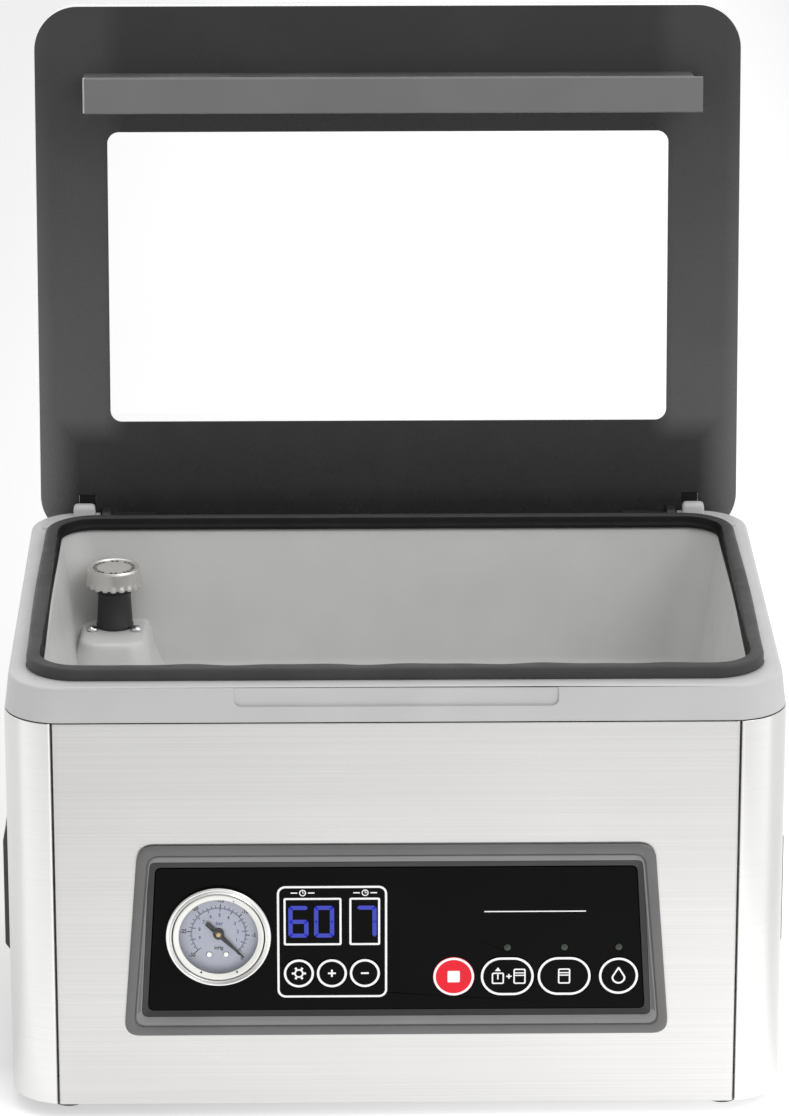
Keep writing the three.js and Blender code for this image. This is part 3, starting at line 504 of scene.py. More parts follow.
def thin_clear(name):
    """A flat lens: what is behind it shows straight through, under a faint reflection."""
    made = Finish(name, (1, 1, 1), 0.03)
    made.gloss(made.noise(20), 0.3)
    through = made.tree.nodes.new("ShaderNodeBsdfTransparent")
    edge = made.tree.nodes.new("ShaderNodeFresnel")
    edge.inputs["IOR"].default_value = 1.35
    mix = made.tree.nodes.new("ShaderNodeMixShader")
    made.tree.links.new(edge.outputs[0], mix.inputs[0])
    made.tree.links.new(through.outputs[0], mix.inputs[1])
    made.tree.links.new(made.shader.outputs[0], mix.inputs[2])
    output = made.tree.nodes["Material Output"]
    made.tree.links.new(mix.outputs[0], output.inputs["Surface"])
    return made.material


def glowing(name, color, light, strength):
    made = Finish(name, color, 0.4)
    made.shader.inputs["Emission Color"].default_value = (*light, 1)
    made.shader.inputs["Emission Strength"].default_value = strength
    return made.shades(made.noise(4), 0.05).material


def mask_print(name, color, sheen_color):
    """Dark print with a painted sheen: paler beside the window, along the border and towards the lid's lower
    corners.
    """
    made = Finish(name, color, 0.28, Specular_IOR_Level=0.4)
    tree = made.tree
    x, _, z = axes(tree, made.position)
    across = calculated(tree, "ABSOLUTE", x)
    beside = ranged(tree, across, *LID_SHEEN_RANGES["beside"])
    above = ranged(tree, z, *LID_SHEEN_RANGES["above"])
    border = ranged(tree, across, *LID_SHEEN_RANGES["border"])
    lower = ranged(tree, z, *LID_SHEEN_RANGES["lower"])
    share = calculated(tree, "MAXIMUM", calculated(tree, "MULTIPLY", beside, above), border)
    share = calculated(tree, "MULTIPLY", share, lower)
    clouds = made.spread(made.noise(35, (1, 1, 1), 3), -0.03, 0.03)
    # Painted sheen: the print's colour runs towards the paler colour where the ranges meet.
    made.blend(calculated(tree, "ADD", share, clouds), color, sheen_color)
    return made.gloss(made.noise(12, (1, 1, 1), 3), 0.12).relief(made.noise(0.6), 0.004, 0.4).material


def printed(name, color):
    made = Finish(name, color, 0.45)
    return made.shades(made.noise(1.5), 0.03).gloss(made.noise(0.6), 0.1).material


FRONT_STEEL = brushed("front_steel", (0.6, 0.595, 0.585), 0.3, (500, 500, 1))
SIDE_STEEL = brushed("side_steel", (0.73, 0.73, 0.72), 0.2, (500, 500, 1), 0.4, True, 0.03)
RIM_GREY = moulded("rim_grey", (0.52, 0.52, 0.52), 0.42, 0.02)
TUB_GREY = moulded("tub_grey", (0.6, 0.6, 0.595), 0.38, 0.02)
GASKET_RUBBER = moulded(
    "gasket_rubber", (0.05, 0.05, 0.051), 0.5, 0.05, 0.12, 1.2, Specular_IOR_Level=0.3)
# A darker copy of the gasket rubber: painted shade for the gasket's inner faces.
GASKET_PAINTED_SHADE = moulded(
    "gasket_painted_shade", (0.006, 0.006, 0.0065), 0.6, 0.05, 0.12, 1.2, Specular_IOR_Level=0.2)
BLACK_RUBBER = moulded("black_rubber", (0.02, 0.02, 0.021), 0.5, 0.05, 0.15, 1.0)
DARK_PLASTIC = moulded("dark_plastic", (0.045, 0.046, 0.048), 0.5, 0.05, 0.08, 0.7)
BEZEL_GREY = moulded("bezel_grey", (0.125, 0.125, 0.128), 0.4, 0.04, 0.05, 0.7)
BEZEL_BAND = moulded("bezel_band", (0.2, 0.2, 0.203), 0.35, 0.03, 0.05, 0.7)
BLACK_GLASS = polished("black_glass", (0.003, 0.003, 0.0033), 0.06, 0.0, 0.1, Specular_IOR_Level=0.05)
RED_KEY = polished("red_key", (0.78, 0.012, 0.03), 0.15, 0.0, 0.03, Specular_IOR_Level=0.2)
CHROME = polished("chrome", (0.8, 0.8, 0.81), 0.1, 1.0)
SATIN_CHROME = polished("satin_chrome", (0.82, 0.82, 0.81), 0.22, 1.0)
ALUMINIUM = brushed("aluminium", (0.62, 0.62, 0.615), 0.34, (300, 1, 1), 0.4, False)
CAP_METAL = brushed("cap_metal", (0.78, 0.765, 0.745), 0.34, (1, 1, 1), 0.5, False, 0.06)
CAP_FACE = printed("cap_face", (0.44, 0.43, 0.405))
# The lid's dark print, with a painted sheen towards its sides and lower corners.
LID_PRINT_AND_SHEEN = mask_print("mask_grey", (0.022, 0.022, 0.023), (0.135, 0.135, 0.137))
# Near-black colour for sheets inside the lid's notches: painted shade.
NOTCH_PAINTED_SHADE = moulded(
    "notch_painted_shade", (0.008, 0.008, 0.0085), 0.5, 0.01, 0.06, 0.6, Specular_IOR_Level=0.2)
PAD_GREY = moulded("pad_grey", (0.155, 0.155, 0.155), 0.5, 0.03, 0.04, 0.7)
SHEET_BLACK = moulded("sheet_black", (0.02, 0.02, 0.021), 0.45, 0.04, 0.1, 0.6)
ACRYLIC = clear("acrylic", (1, 1, 1))
# Pale opaque colour for the clear slab's edges: a painted highlight.
ACRYLIC_EDGE_HIGHLIGHT = polished("acrylic_edge_painted_highlight", (0.78, 0.79, 0.8), 0.2)
LENS = thin_clear("lens")
WHITE_ENAMEL = polished("white_enamel", (0.85, 0.84, 0.8), 0.2)
DIAL_FACE = printed("dial_face", (0.66, 0.69, 0.8))
WHITE_PRINT = printed("white_print", (0.9, 0.9, 0.9))
BLACK_PRINT = printed("black_print", (0.01, 0.01, 0.012))
BLUE_PRINT = printed("blue_print", (0.09, 0.11, 0.42))
BLUE_GLOW = glowing("blue_glow", (0.003, 0.005, 0.03), (0.05, 0.08, 1.0), 0.45)
LED_DARK = printed("led_dark", (0.03, 0.028, 0.028))
TAPE = moulded("tape", (0.3, 0.22, 0.14), 0.5, 0.06, 0.1, 0.5)
BRASS = polished("brass", (0.55, 0.4, 0.2), 0.25, 1.0)
CIRCUIT = moulded("circuit", (0.01, 0.07, 0.03), 0.4, 0.03, 0.1, 0.5)
LAMINATED = brushed("laminated", (0.2, 0.17, 0.15), 0.5, (1, 200, 200), 0.6, False, 0.3)


# ------------------------------------------------------------ steel case
def half_section(moves):
    """Points and inward directions along half a bent sheet: moves are (length, 0) or (degrees, radius)."""
    u, v, heading = 0.0, 0.0, 0.0
    path = [(u, v, heading)]
    for amount, radius in moves:
        if not radius:
            u += amount * math.cos(heading)
            v += amount * math.sin(heading)
            path.append((u, v, heading))
            continue
        steps = max(4, round(amount / 4))
        for _ in range(steps):
            turn = math.radians(amount / steps)
            chord = 2 * radius * math.sin(turn / 2)
            u += chord * math.cos(heading + turn / 2)
            v += chord * math.sin(heading + turn / 2)
            heading += turn
            path.append((u, v, heading))
    return path


def sheet_outline(moves, turn):
    """The outline of a sheet bent the same way at both ends; turn puts it on its side of the case."""
    half = half_section(moves)
    outer = [(u, v) for u, v, _ in half]
    inner = [(u - BODY["sheet"] * math.sin(h), v + BODY["sheet"] * math.cos(h)) for u, v, h in half]
    outside = [(-u, v) for u, v in reversed(outer)] + outer[1:]
    inside = [(-u, v) for u, v in reversed(inner)] + inner[1:]
    return [turn(u, v) for u, v in outside + inside[::-1]]


def case_sheet(node, finish, moves, turn, cuts):
    outline = sheet_outline(moves, turn)
    sheet = tube([flat(outline, z) for z in (BODY["bottom"], BODY["top"])])
    piece("steel_" + node, [sheet], finish, nodes=[node], bevel=0.3, cuts=cuts, angle=40)


def steel_panels():
    half_x, half_y, corner = BODY["half_x"], BODY["half_y"], BODY["corner"]
    fold = [(82, 1.5), (2.2, 0)]
    front = [(half_x - corner, 0), (4.92, corner)] + fold
    side = [(half_y - corner, 0), (77.0, corner)] + fold
    opening = prism(trapezoid(PANEL, -4, 8), -half_y - 8, -half_y + 12)
    brushed_sheets = (
        ("front_panel", lambda u, v: (u, v - half_y), [opening]),
        ("rear_panel", lambda u, v: (-u, half_y - v), rear_cuts()),
    )
    for node, turn, cuts in brushed_sheets:
        case_sheet(node, FRONT_STEEL, front, turn, cuts)
    polished_sheets = (
        ("side_panel_right", lambda u, v: (half_x - v, u), half_x),
        ("side_panel_left", lambda u, v: (v - half_x, -u), -half_x),
    )
    for node, turn, x in polished_sheets:
        case_sheet(node, SIDE_STEEL, side, turn, [grip_cut(x)])


def grip_cut(x):
    half, depth = GRIP_CUT["half_y"], GRIP_CUT["depth"]
    return block(x - depth, x + depth, -half, half, GRIP_CUT["bottom"], GRIP_CUT["top"])


def rear_cuts():
    y0, y1 = BODY["half_y"] - 8, BODY["half_y"] + 8
    cuts = [block(-134, -106, y0, y1, 29, 51), block(-91, -69, y0, y1, 32, 48)]
    for i in range(9):
        x = 58 + 8 * i
        cuts.append(prism(box_outline(x - 1.5, x + 1.5, 45, 95, 1.45), y0, y1))
    return cuts


# ------------------------------------------------------------ rim, chamber and gasket
def top_rim():
    half_x, half_y, corner = (BODY[key] - RIM["inset"] for key in ("half_x", "half_y", "corner"))
    top, wall, y = RIM["top"], RIM["wall"], CHAMBER["y"]
    radius = RIM["round"]
    levels = [(RIM["bottom"], 0, 0), (RIM["bottom"] + 0.5, -0.05, -0.03), (top - radius, -1.8, -1.1)]
    for up, inwards in edge_round():
        inset = RIM["round_in"] * inwards
        levels.append((top - radius + radius * up, -1.8 - inset, -1.1 - inset))
    outside = [flat(rounded(half_x + gx, half_y + gy, corner + gy), z) for z, gx, gy in levels]
    ring = link("rim", mesh_of("rim", [tube(outside)]))
    room_front = y + GASKET["half_y"] + 2.3
    end = HINGE_ROOM["half_x"]
    skirt = link("skirt", mesh_of("skirt", [
        slab(RIM["bottom"] - 2, RIM["ledge_bottom"], half_x - wall, half_y - wall, corner - wall)]))
    keep = [block(-end - 2, end + 2, room_front - 2, half_y + 5, RIM["bottom"] - 9, top + 5)]
    for side in (-1, 1):
        x0, x1 = sorted((side * (end - 1), side * (HINGE["x"] + 9)))
        keep.append(block(x0, x1, HINGE["y"] - 6, HINGE["y"] + 5, RIM["bottom"] - 9, top + 5))
    carve(skirt, keep)
    combine(ring, skirt, "DIFFERENCE")
    seat = [GASKET[key] + 0.3 for key in ("half_x", "half_y", "corner")]
    well = [CHAMBER["half_x"] + 4.2, CHAMBER["half_y"] + 4.2, CHAMBER["corner"] + 4]
    carve(ring, [
        slab(RIM["ledge_top"], top + 2, *seat, 0, y),
        slab(RIM["bottom"] - 2, top, *well, 0, y),
        block(-end, end, room_front, half_y + 9, HINGE_ROOM["floor"], top + 2),
        finger_recess(),
    ])
    lug = ((222, 5.7, 3.5), (228.6, 5.7, 3.5), (229.8, 5.4, 3.0), (230.5, 4.9, 2.2), (230.9, 4.3, 1.4))
    for side in (-1, 1):
        x = side * HINGE["x"]
        outlines = [flat(rounded(w, d, 1.2, x, HINGE["y"], 4), z) for z, w, d in lug]
        pad = slab(223, 225.6, 2.6, 4.5, 1.0, side * 179.5, 113.5)
        carve(ring, [tube(outlines), pad], operation="UNION")
        x0, x1 = sorted((side * (end - 1.5), side * (HINGE["x"] + 7)))
        carve(ring, [rod_x(2.8, x0, x1, HINGE["y"], HINGE["z"])])
    piece("rim", ring, RIM_GREY, nodes=["top_rim"], bevel=0.35)


def finger_recess():
    """The shallow hollow for the fingers in the middle of the rim's front, open at its top edge."""
    half, corner, high = RECESS["half_x"], RECESS["corner"], RIM["top"] + 2
    low = RECESS["bottom"] + corner
    outline = [(half, high), (-half, high)]
    outline += quarter(corner, 180, -half + corner, low, 8) + quarter(corner, 270, half - corner, low, 8)
    back = -BODY["half_y"] + RECESS["front"] + RECESS["depth"]
    return prism(outline, back - 12, back)


def chamber_tub():
    y, half_x, half_y, corner = CHAMBER["y"], CHAMBER["half_x"], CHAMBER["half_y"], CHAMBER["corner"]
    floor, top, wall = CHAMBER["floor"], CHAMBER["top"], CHAMBER["wall"]
    fillet, draft, edge = CHAMBER["fillet"], CHAMBER["draft"], CHAMBER["lip"]
    inner = []
    for out, up in edge_round(0, 8):
        inner.append((floor + fillet * up, draft + fillet * (1 - out), CHAMBER["floor_corner"] - 5 * out))
    inner.append((top - edge, 0.3, corner))
    lip = [(top - edge + edge * up, 0.3 - edge * out, corner + edge * out) for up, out in edge_round()]

    def ring(z, inset, turn):
        return flat(rounded(half_x - inset, half_y - inset, turn, 0, y), z)

    def outside(thick):
        """The tub's levels, moved out by a thickness."""
        rings = [ring(z - thick, inset - thick, turn + thick) for z, inset, turn in inner[:-1]]
        return rings + [ring(top - wall, -thick, corner + thick)]

    flange = rounded(GASKET["half_x"], GASKET["half_y"], GASKET["corner"], 0, y)
    levels = outside(wall) + [flat(flange, top - wall), flat(flange, top)]
    levels += [ring(*level) for level in reversed(inner + lip)]
    tub = link("chamber", mesh_of("chamber", [tube(levels)]))
    boss = link("boss", mesh_of("boss", [suction_boss()]))
    carve(boss, [tube(outside(wall / 2))], operation="INTERSECT")
    combine(tub, boss, "UNION")
    boss_top = SUCTION["boss"]
    carve(tub, [lathe([(4.3, floor - 8), (4.3, boss_top + 3)], SUCTION["x"], SUCTION["y"], 24)])
    carve(tub, [lathe([(1.8, boss_top - 9), (1.8, boss_top + 3)], *screw_at(side), 16) for side in (-1, 1)])
    piece("chamber", tub, TUB_GREY, nodes=["chamber_tub"], bevel=0.35, angle=40)


def screw_at(side):
    """Where the screw on one side of the suction stem stands."""
    return SUCTION["x"] + side * SUCTION["screw_x"], SUCTION["y"] + SUCTION["screw_y"]


def suction_boss():
    """The raised part of the tub's floor under the suction stem; the tub's walls trim it."""
    x, y, floor, top = SUCTION["x"], SUCTION["y"], CHAMBER["floor"], SUCTION["boss"]
    levels = [
        (floor - 1, 29, 31, 15, 2.5, -8.5),
        (floor + 4, 26.4, 29.2, 14, 0.3, -7),
        (top - 12, 21.2, 27.2, 12.5, -1.5, -5),
        (top - 4, 18.3, 26.2, 12, 0.2, -4.1),
    ]
    for up, inwards in edge_round():
        inset = 3.4 * inwards
        levels.append((top - 4 + 4 * up, 18 - inset, 26 - inset, 12 - inset, 0, -4))
    return tube([flat(rounded(w, d, r, x + dx, y + dy), z) for z, w, d, r, dx, dy in levels])


def gasket():
    """The rubber seal round the chamber, its inner edge a little wavy along the front."""
    y = CHAMBER["y"]
    base = GASKET["base"]
    profile = [
        (0, base), (0, 229.6), (-0.25, 230.5), (-0.9, 231.1), (-1.6, 231.2),
        (-6.0, 231.2), (-6.5, 231.05), (-6.8, 230.6), (-6.95, 229.8), (-7.1, 228.4),
        (-7.4, 227.6), (-7.8, 227.3), (-8.2, 227.0), (-8.3, 226.6), (-8.3, base),
    ]
    rings = []
    for grow, z in profile:
        half_x, half_y, corner = (GASKET[key] + grow for key in ("half_x", "half_y", "corner"))
        outline = rounded(half_x, half_y, corner, 0, y, 24)
        inner = max(0.0, min(1.0, (-grow - 3) / 3))
        rings.append([
            (px + bow(px, py), py + inner * ripple(px, py), z + 0.25 * inner * ripple(px, py))
            for px, py in stretch_sides(outline)
        ])
    made = piece("gasket", [tube(rings, around=True)], GASKET_RUBBER, nodes=["chamber_gasket"],
                 angle=50)
    # The inner faces below the gasket's top get the darker copy: painted shade.
    made.data.materials.append(GASKET_PAINTED_SHADE)
    for face in made.data.polygons:
        px, py, pz = face.center / MM
        if depth_inside(px, py - SHIFT - y) > 6.6 and pz < 231:
            face.material_index = 1


def depth_inside(x, y):
    """How far a point lies inside the gasket's outer outline."""
    corner = GASKET["corner"]
    side, end = GASKET["half_x"] - abs(x), GASKET["half_y"] - abs(y)
    if side < corner and end < corner:
        return corner - math.hypot(corner - side, corner - end)
    return min(side, end)


def bow(x, y):
    """The gasket's long sides stand out a little in the middle of their length."""
    along = (y - CHAMBER["y"]) / 100
    if abs(x) < 160 or abs(along) > 1:
        return 0.0
    return math.copysign(0.8 * math.cos(along * math.pi / 2) ** 2, x)


def stretch_sides(outline, gap=4.0):
    """The outline with its straight sides cut into short lengths."""
    points = []
    for i, here in enumerate(outline):
        there = outline[(i + 1) % len(outline)]
        count = max(1, round(math.dist(here, there) / gap))
        for step in range(count):
            t = step / count
            points.append((here[0] + (there[0] - here[0]) * t, here[1] + (there[1] - here[1]) * t))
    return points


def ripple(x, y):
    if y > -105 or abs(x) > 150:
        return 0.0
    fade = min(1.0, (150 - abs(x)) / 25)
    return fade * (0.45 * math.sin(x / 9.5) + 0.3 * math.sin(x / 5.3 + 1.1))


# ------------------------------------------------------------ suction port
def suction_port():
    x, y, seat = SUCTION["x"], SUCTION["y"], SUCTION["boss"] + 0.3
    bottom, top = SUCTION["cap_bottom"], SUCTION["cap_top"]
    stem = [
        (0, seat - 30), (4, seat - 30), (4, seat), (9.4, seat), (9.7, seat + 0.4),
        (9.7, seat + 1.6), (9.3, seat + 2.2), (8.5, bottom - 5.2), (8.8, bottom - 4.9), (8.8, bottom - 3.3),
        (8.3, bottom - 3.0), (8.2, bottom + 2.8), (7.8, bottom + 3.2), (0, bottom + 3.2),
    ]
    piece("suction_stem_rubber", [lathe(stem, x, y)], BLACK_RUBBER, nodes=["suction_stem"],
          bevel=0.15)
    cap = [
        (8.6, bottom + 3.6), (8.6, bottom + 1.2), (12.9, bottom + 1.0), (13.7, bottom - 0.05),
        (14.5, bottom + 0.0), (14.65, bottom + 0.6), (14.3, bottom + 1.7), (13.9, bottom + 4.0),
        (13.9, top - 1.6), (13.7, top - 0.6), (13.2, top - 0.05), (12.6, top),
        (12.1, top - 0.3), (11.9, top - 0.7), (0, top - 0.8), (0, bottom + 3.6),
    ]

    def crimp(radius, z, angle):
        if radius > 12 and z < bottom + 1.8:
            return radius + 0.5 * math.cos(20 * angle) * (1.8 - (z - bottom)) / 1.8
        return radius

    rings = lathe(cap, x, y, 160, wave=crimp)
    points = []
    for px, py, pz in rings[0]:
        away = math.hypot(px - x, py - y)
        angle = math.atan2(py - y, px - x)
        lift = 0.85 * max(0.0, -math.cos(20 * angle)) if away > 13 and pz < bottom + 0.3 else 0.0
        points.append((px, py, pz + lift))
    piece("suction_cap_metal", [(points, rings[1])], CAP_METAL, "suction_cap", ["suction_cap"])
    disc = lathe([(0, top - 0.78), (11.75, top - 0.78), (11.75, top - 0.62), (0, top - 0.62)], x, y, 96)
    piece("suction_cap_disc", [disc], CAP_FACE, "suction_cap")
    gaps = (5, 8, 18, 21)
    marks = [cap_mark(x, y, top - 0.62, a) for i, a in enumerate(full_turn(26)) if i not in gaps]
    piece("suction_cap_marks", marks, BLACK_PRINT, "suction_cap")
    for name, side in (("left", -1), ("right", 1)):
        pan_screw("suction_screw_" + name, *screw_at(side), seat)


def cap_mark(x, y, z, angle):
    """A short printed dash in a ring of dashes round the cap's top."""
    along, across = 0.7, 1.05
    radius = 10.1
    corners = []
    for u, v in ((-along, -across), (along, -across), (along, across), (-along, across)):
        r = radius + v
        a = angle + u / radius
        corners.append((x + r * math.cos(a), y + r * math.sin(a)))
    return tube([flat(corners, z), flat(corners, z + 0.06)])


def pan_screw(node, x, y, seat):
    dome = [(0, seat - 8), (1.5, seat - 8), (1.5, seat), (3.0, seat), (3.2, seat + 0.35), (3.1, seat + 0.9)]
    dome += [(2.6, seat + 1.5), (1.8, seat + 2.0), (0.9, seat + 2.25), (0, seat + 2.3)]
    arms = ((1.5, 0.35), (0.35, 1.5))
    cross = [block(x - w, x + w, y - d, y + d, seat + 1.1, seat + 4) for w, d in arms]
    head = lathe(dome, x, y, 40)
    piece(node + "_head", [head], CHROME, nodes=[node], cuts=cross, angle=40)


# ------------------------------------------------------------ lid
def edge_levels(low, high, radius_low, radius_high, steps=4):
    """Heights and insets of a slab whose upper and lower edges are rounded."""
    levels = []
    for up, inwards in edge_round(0, steps):
        levels.append((low + radius_low * (1 - up), radius_low * inwards))
        levels.append((high - radius_high + radius_high * up, radius_high * inwards))
    return sorted(levels)


def lid_notches(low, high, inset=0.0):
    """The hollows in the lid's underside over the two hinge lugs, between two heights."""
    made = []
    for side in (-1, 1):
        x, half = side * (HINGE["x"] - NOTCH["shift"]), NOTCH["half_x"] - inset
        made.append(block(x - half, x + half, NOTCH["front"] + inset, NOTCH["back"] - inset, low, high))
    return made


def lid():
    y = (LID["front"] + LID["back"]) / 2
    half_y = (LID["back"] - LID["front"]) / 2
    bottom, top = UNDERSIDE + 1.3, UNDERSIDE + LID["thickness"]
    levels = edge_levels(bottom, top, 0.5, 1.6)

    def outline(inset, steps):
        return rounded(LID["half_x"] - inset, half_y - inset, LID["corner"] - inset, 0, y, steps)

    rings = [flat(outline(inset, 20), z) for z, inset in levels]
    hollow = lid_notches(UNDERSIDE - 2, UNDERSIDE + NOTCH["depth"])
    plate = piece("lid_slab", [tube(rings)], ACRYLIC, "lid", ["lid_plate"],
                  place=open_lid, cuts=hollow)
    # The slab's edge faces get the pale colour: a painted highlight along its edges.
    plate.data.materials.append(ACRYLIC_EDGE_HIGHLIGHT)
    upwards = (Vector(open_lid((0, 0, 1))) - Vector(open_lid((0, 0, 0)))).normalized()
    for face in plate.data.polygons:
        if abs(face.normal.dot(upwards)) < 0.5:
            face.material_index = 1
    window_y = (WINDOW["front"] + WINDOW["back"]) / 2
    window_half = (WINDOW["back"] - WINDOW["front"]) / 2
    outer = outline(0.3, 16)
    inner = rounded(WINDOW["half_x"], window_half, WINDOW["corner"], 0, window_y, 16)
    high = UNDERSIDE + 1.0
    rings = [flat(outer, UNDERSIDE), flat(outer, high), flat(inner, high), flat(inner, UNDERSIDE)]
    # The lid's print carries the painted sheen of its material.
    piece("lid_frame_print", [tube(rings, around=True)], LID_PRINT_AND_SHEEN, "lid", ["lid_mask"], 0.25,
          place=open_lid, cuts=hollow)
    # Dark sheets inside the notches: painted shade where the notches would show through the clear slab.
    notch_shade = lid_notches(UNDERSIDE + 0.4, UNDERSIDE + NOTCH["depth"] - 0.1, 0.1)
    piece("lid_notch_painted_shade", notch_shade, NOTCH_PAINTED_SHADE, "lid", ["lid_mask"], place=open_lid)


def press_strip():
    y, half = PRESS["y"], PRESS["width"] / 2
    low, high = UNDERSIDE - PRESS["depth"], UNDERSIDE - 0.3
    pad, wall = PRESS["pad"], PRESS["wall"]
    base = low + pad + 0.3
    outline = [(y - half, base), (y + half, base), (y + half, high), (y - half, high)]
    hole = [(y - half + wall, base + wall), (y + half - wall, base + wall),
            (y + half - wall, high - wall), (y - half + wall, high - wall)]
    left, right = -PRESS["half_x"], PRESS["half_x"]
    sections = ((outline, left), (hole, left), (hole, right), (outline, right))
    rings = [crosswise(section, x) for section, x in sections]
    piece("press_rail", [tube(rings, around=True)], ALUMINIUM, "lid", ["press_holder"], 0.4,
          open_lid)
    ends = (left + 1, right + 4.5)
    section = [(y - half, low + 0.6), (y - half + 0.6, low), (y + half - 0.6, low), (y + half, low + 0.6),
               (y + half, low + pad), (y - half, low + pad)]
    rings = [crosswise(section, x) for x in ends]
    piece("press_pad", [tube(rings)], PAD_GREY, "lid", ["press_strip"], 0.25, open_lid)


def hinges():
    for name in ("left", "right"):
        keep_node("hinge_bracket_" + name, SHEET_BLACK, 0.4)
        keep_node("hinge_pin_" + name, CHROME, 0.3)


# ------------------------------------------------------------ seal bar
def seal_bar():
    keep_node("seal_bar", ALUMINIUM, 0.4)
    keep_node("heating_wire", CHROME, 0.05)
    y, top, half = HINGE["y"] + PRESS["y"], SEAL["top"], SEAL["half_x"] - 1.5
    profile = [(-7.3, -9), (-7.3, 0.2), (-6.6, 0.75), (6.6, 0.75), (7.3, 0.2), (7.3, -9),
               (7.15, -9), (7.15, 0.1), (6.5, 0.6), (-6.5, 0.6), (-7.15, 0.1), (-7.15, -9)]
    rings = [crosswise([(y + a, top + b) for a, b in profile], x) for x in (-half, half)]
    piece("seal_tape", [tube(rings)], TAPE, "seal_bar_carriage")
    for name in ("left", "right"):
        keep_node("lift_piston_" + name, CHROME, 0.3)
        keep_node("lift_cylinder_" + name, ALUMINIUM, 0.4)


# ------------------------------------------------------------ control panel
def bezel():
    """The moulded frame round the control glass: a flange, a fine step and a band that slopes inwards."""
    face = -BODY["half_y"] - 0.3
    front = BEZEL_FRONT
    flange = [
        (0, face), (0.15, front + 0.9), (-0.5, front + 0.2), (-1.2, front), (-3.9, front),
        (-4.5, front + 0.25), (-4.8, front + 0.9), (-5.2, front + 1.1), (-5.2, face + 0.1),
    ]
    outer = [upright(trapezoid(PANEL, grow, max(3.0, 8 + grow * 0.5)), y) for grow, y in flange]
    bezel_part("bezel_flange", outer, BEZEL_GREY)
    outside = ((-5.1, face + 0.05), (-5.1, front + 1.0), (-5.5, front + 0.5), (-6.0, front + 0.45))
    inside = ((4.0, front + 1.1), (3.5, front + 1.4), (3.3, face + 0.05))
    band = [upright(trapezoid(PANEL, grow, 5.6), y) for grow, y in outside]
    band += [upright(trapezoid(GLASS, grow, 3.6), y) for grow, y in inside]
    bezel_part("bezel_band", band, BEZEL_BAND)
    # The recess round the glass is coloured near black: partly its own dark plastic, partly painted shade.
    recess = (
        (3.25, face + 1), (3.25, front + 1.5), (2.6, front + 1.7), (0.5, GLASS_FRONT + 0.2), (0.3, face + 1),
    )
    bezel_part("bezel_recess", [upright(trapezoid(GLASS, grow, 3.3), y) for grow, y in recess], SHEET_BLACK)


def bezel_part(name, rings, finish):
    piece(name, [tube(rings, around=True)], finish, nodes=["control_bezel"],
          angle=30)


def key_outline(name, inset, steps=10):
    x0, x1, z, radius = KEYS[name]
    r = radius - inset
    return rounded((x1 - x0) / 2 + r, r, r, (x0 + x1) / 2, z, steps)


def keys():
    for name in KEYS:
        finish = RED_KEY if name == "key_cancel" else BLACK_GLASS
        outline = key_outline(name, 0.1)
        rings = [upright(outline, KEY_FACE + 3), upright(outline, KEY_FACE + 0.2)]
        rings.append(upright(key_outline(name, 0.3), KEY_FACE + 0.02))
        rings.append(upright(key_outline(name, 1.4), KEY_FACE))
        piece(name + "_cap", [tube(rings)], finish, name, [name], angle=30)
        line = frame_of(key_outline(name, 0.25), key_outline(name, 1.4), PRINT_FRONT, KEY_FACE + 0.1)
        piece(name + "_print", [line] + key_sign(name), WHITE_PRINT, name)


def bar(x, z, length, width, turn=0.0, front=PRINT_FRONT):
    """A printed bar centred on x and z, turned anticlockwise from level."""
    u, v = length / 2, width / 2
    return prism(turned([(-u, -v), (u, -v), (u, v), (-u, v)], turn, x, z), front, front + PRINT_DEPTH)


def patch(outline):
    """A printed area on a key."""
    return prism(outline, PRINT_FRONT, PRINT_FRONT + PRINT_DEPTH)


def line_round(outer, inner):
    """A printed line on a key between two outlines."""
    return frame_of(outer, inner, PRINT_FRONT, PRINT_FRONT + PRINT_DEPTH)


def plus(x, z, length, width, arm_z, arm):
    """A level bar with an upright arm above and below its middle."""
    return [bar(x, z, length, width), bar(x, z + arm_z, arm, width, 90), bar(x, z - arm_z, arm, width, 90)]


def key_sign(name):
    """A plain sign on a key: no lettering."""
    x0, x1, z, _ = KEYS[name]
    x = (x0 + x1) / 2
    if name == "key_plus":
        return plus(x, z, 3.8, 0.9, 1.2, 1.4)
    if name == "key_minus":
        return [bar(x, z, 3.8, 0.9)]
    if name == "key_set":
        teeth = []
        for degrees in range(0, 360, 60):
            a = math.radians(degrees)
            teeth.append(bar(x + 2.8 * math.cos(a), z + 2.8 * math.sin(a), 1.3, 1.1, degrees))
        return [line_round(circle(2.3, x, z), circle(1.5, x, z))] + teeth
    if name == "key_cancel":
        return [patch(box_outline(x - 3, x + 3, z - 3, z + 3, 0.6))]
    if name == "key_vacuum_seal":
        return pouch_sign(x - 4.6, z) + plus(x + 0.8, z, 2.6, 0.7, 0.8, 0.9) + seal_sign(x + 6.0, z)
    if name == "key_seal":
        return seal_sign(x, z)
    return drop_sign(x, z)


def pouch(x, z, high):
    """The outline of a pouch as a line that is 0.7 mm wide."""
    outer = box_outline(x - 3, x + 3, z - 4, z + high, 0.9)
    return line_round(outer, box_outline(x - 2.3, x + 2.3, z - 3.3, z + high - 0.7, 0.4))


def pouch_sign(x, z):
    """A pouch with an arrow out of it."""
    arrow = [(x - 1.5, z + 2.8), (x + 1.5, z + 2.8), (x, z + 4.8)]
    return [pouch(x, z, 2), patch(arrow), bar(x, z, 3.2, 0.7, 90)]


def seal_sign(x, z):
    """A pouch with a closed seam across its top."""
    return [pouch(x, z, 4), bar(x, z + 1.8, 4.6, 0.6), bar(x, z + 0.5, 4.6, 0.6)]


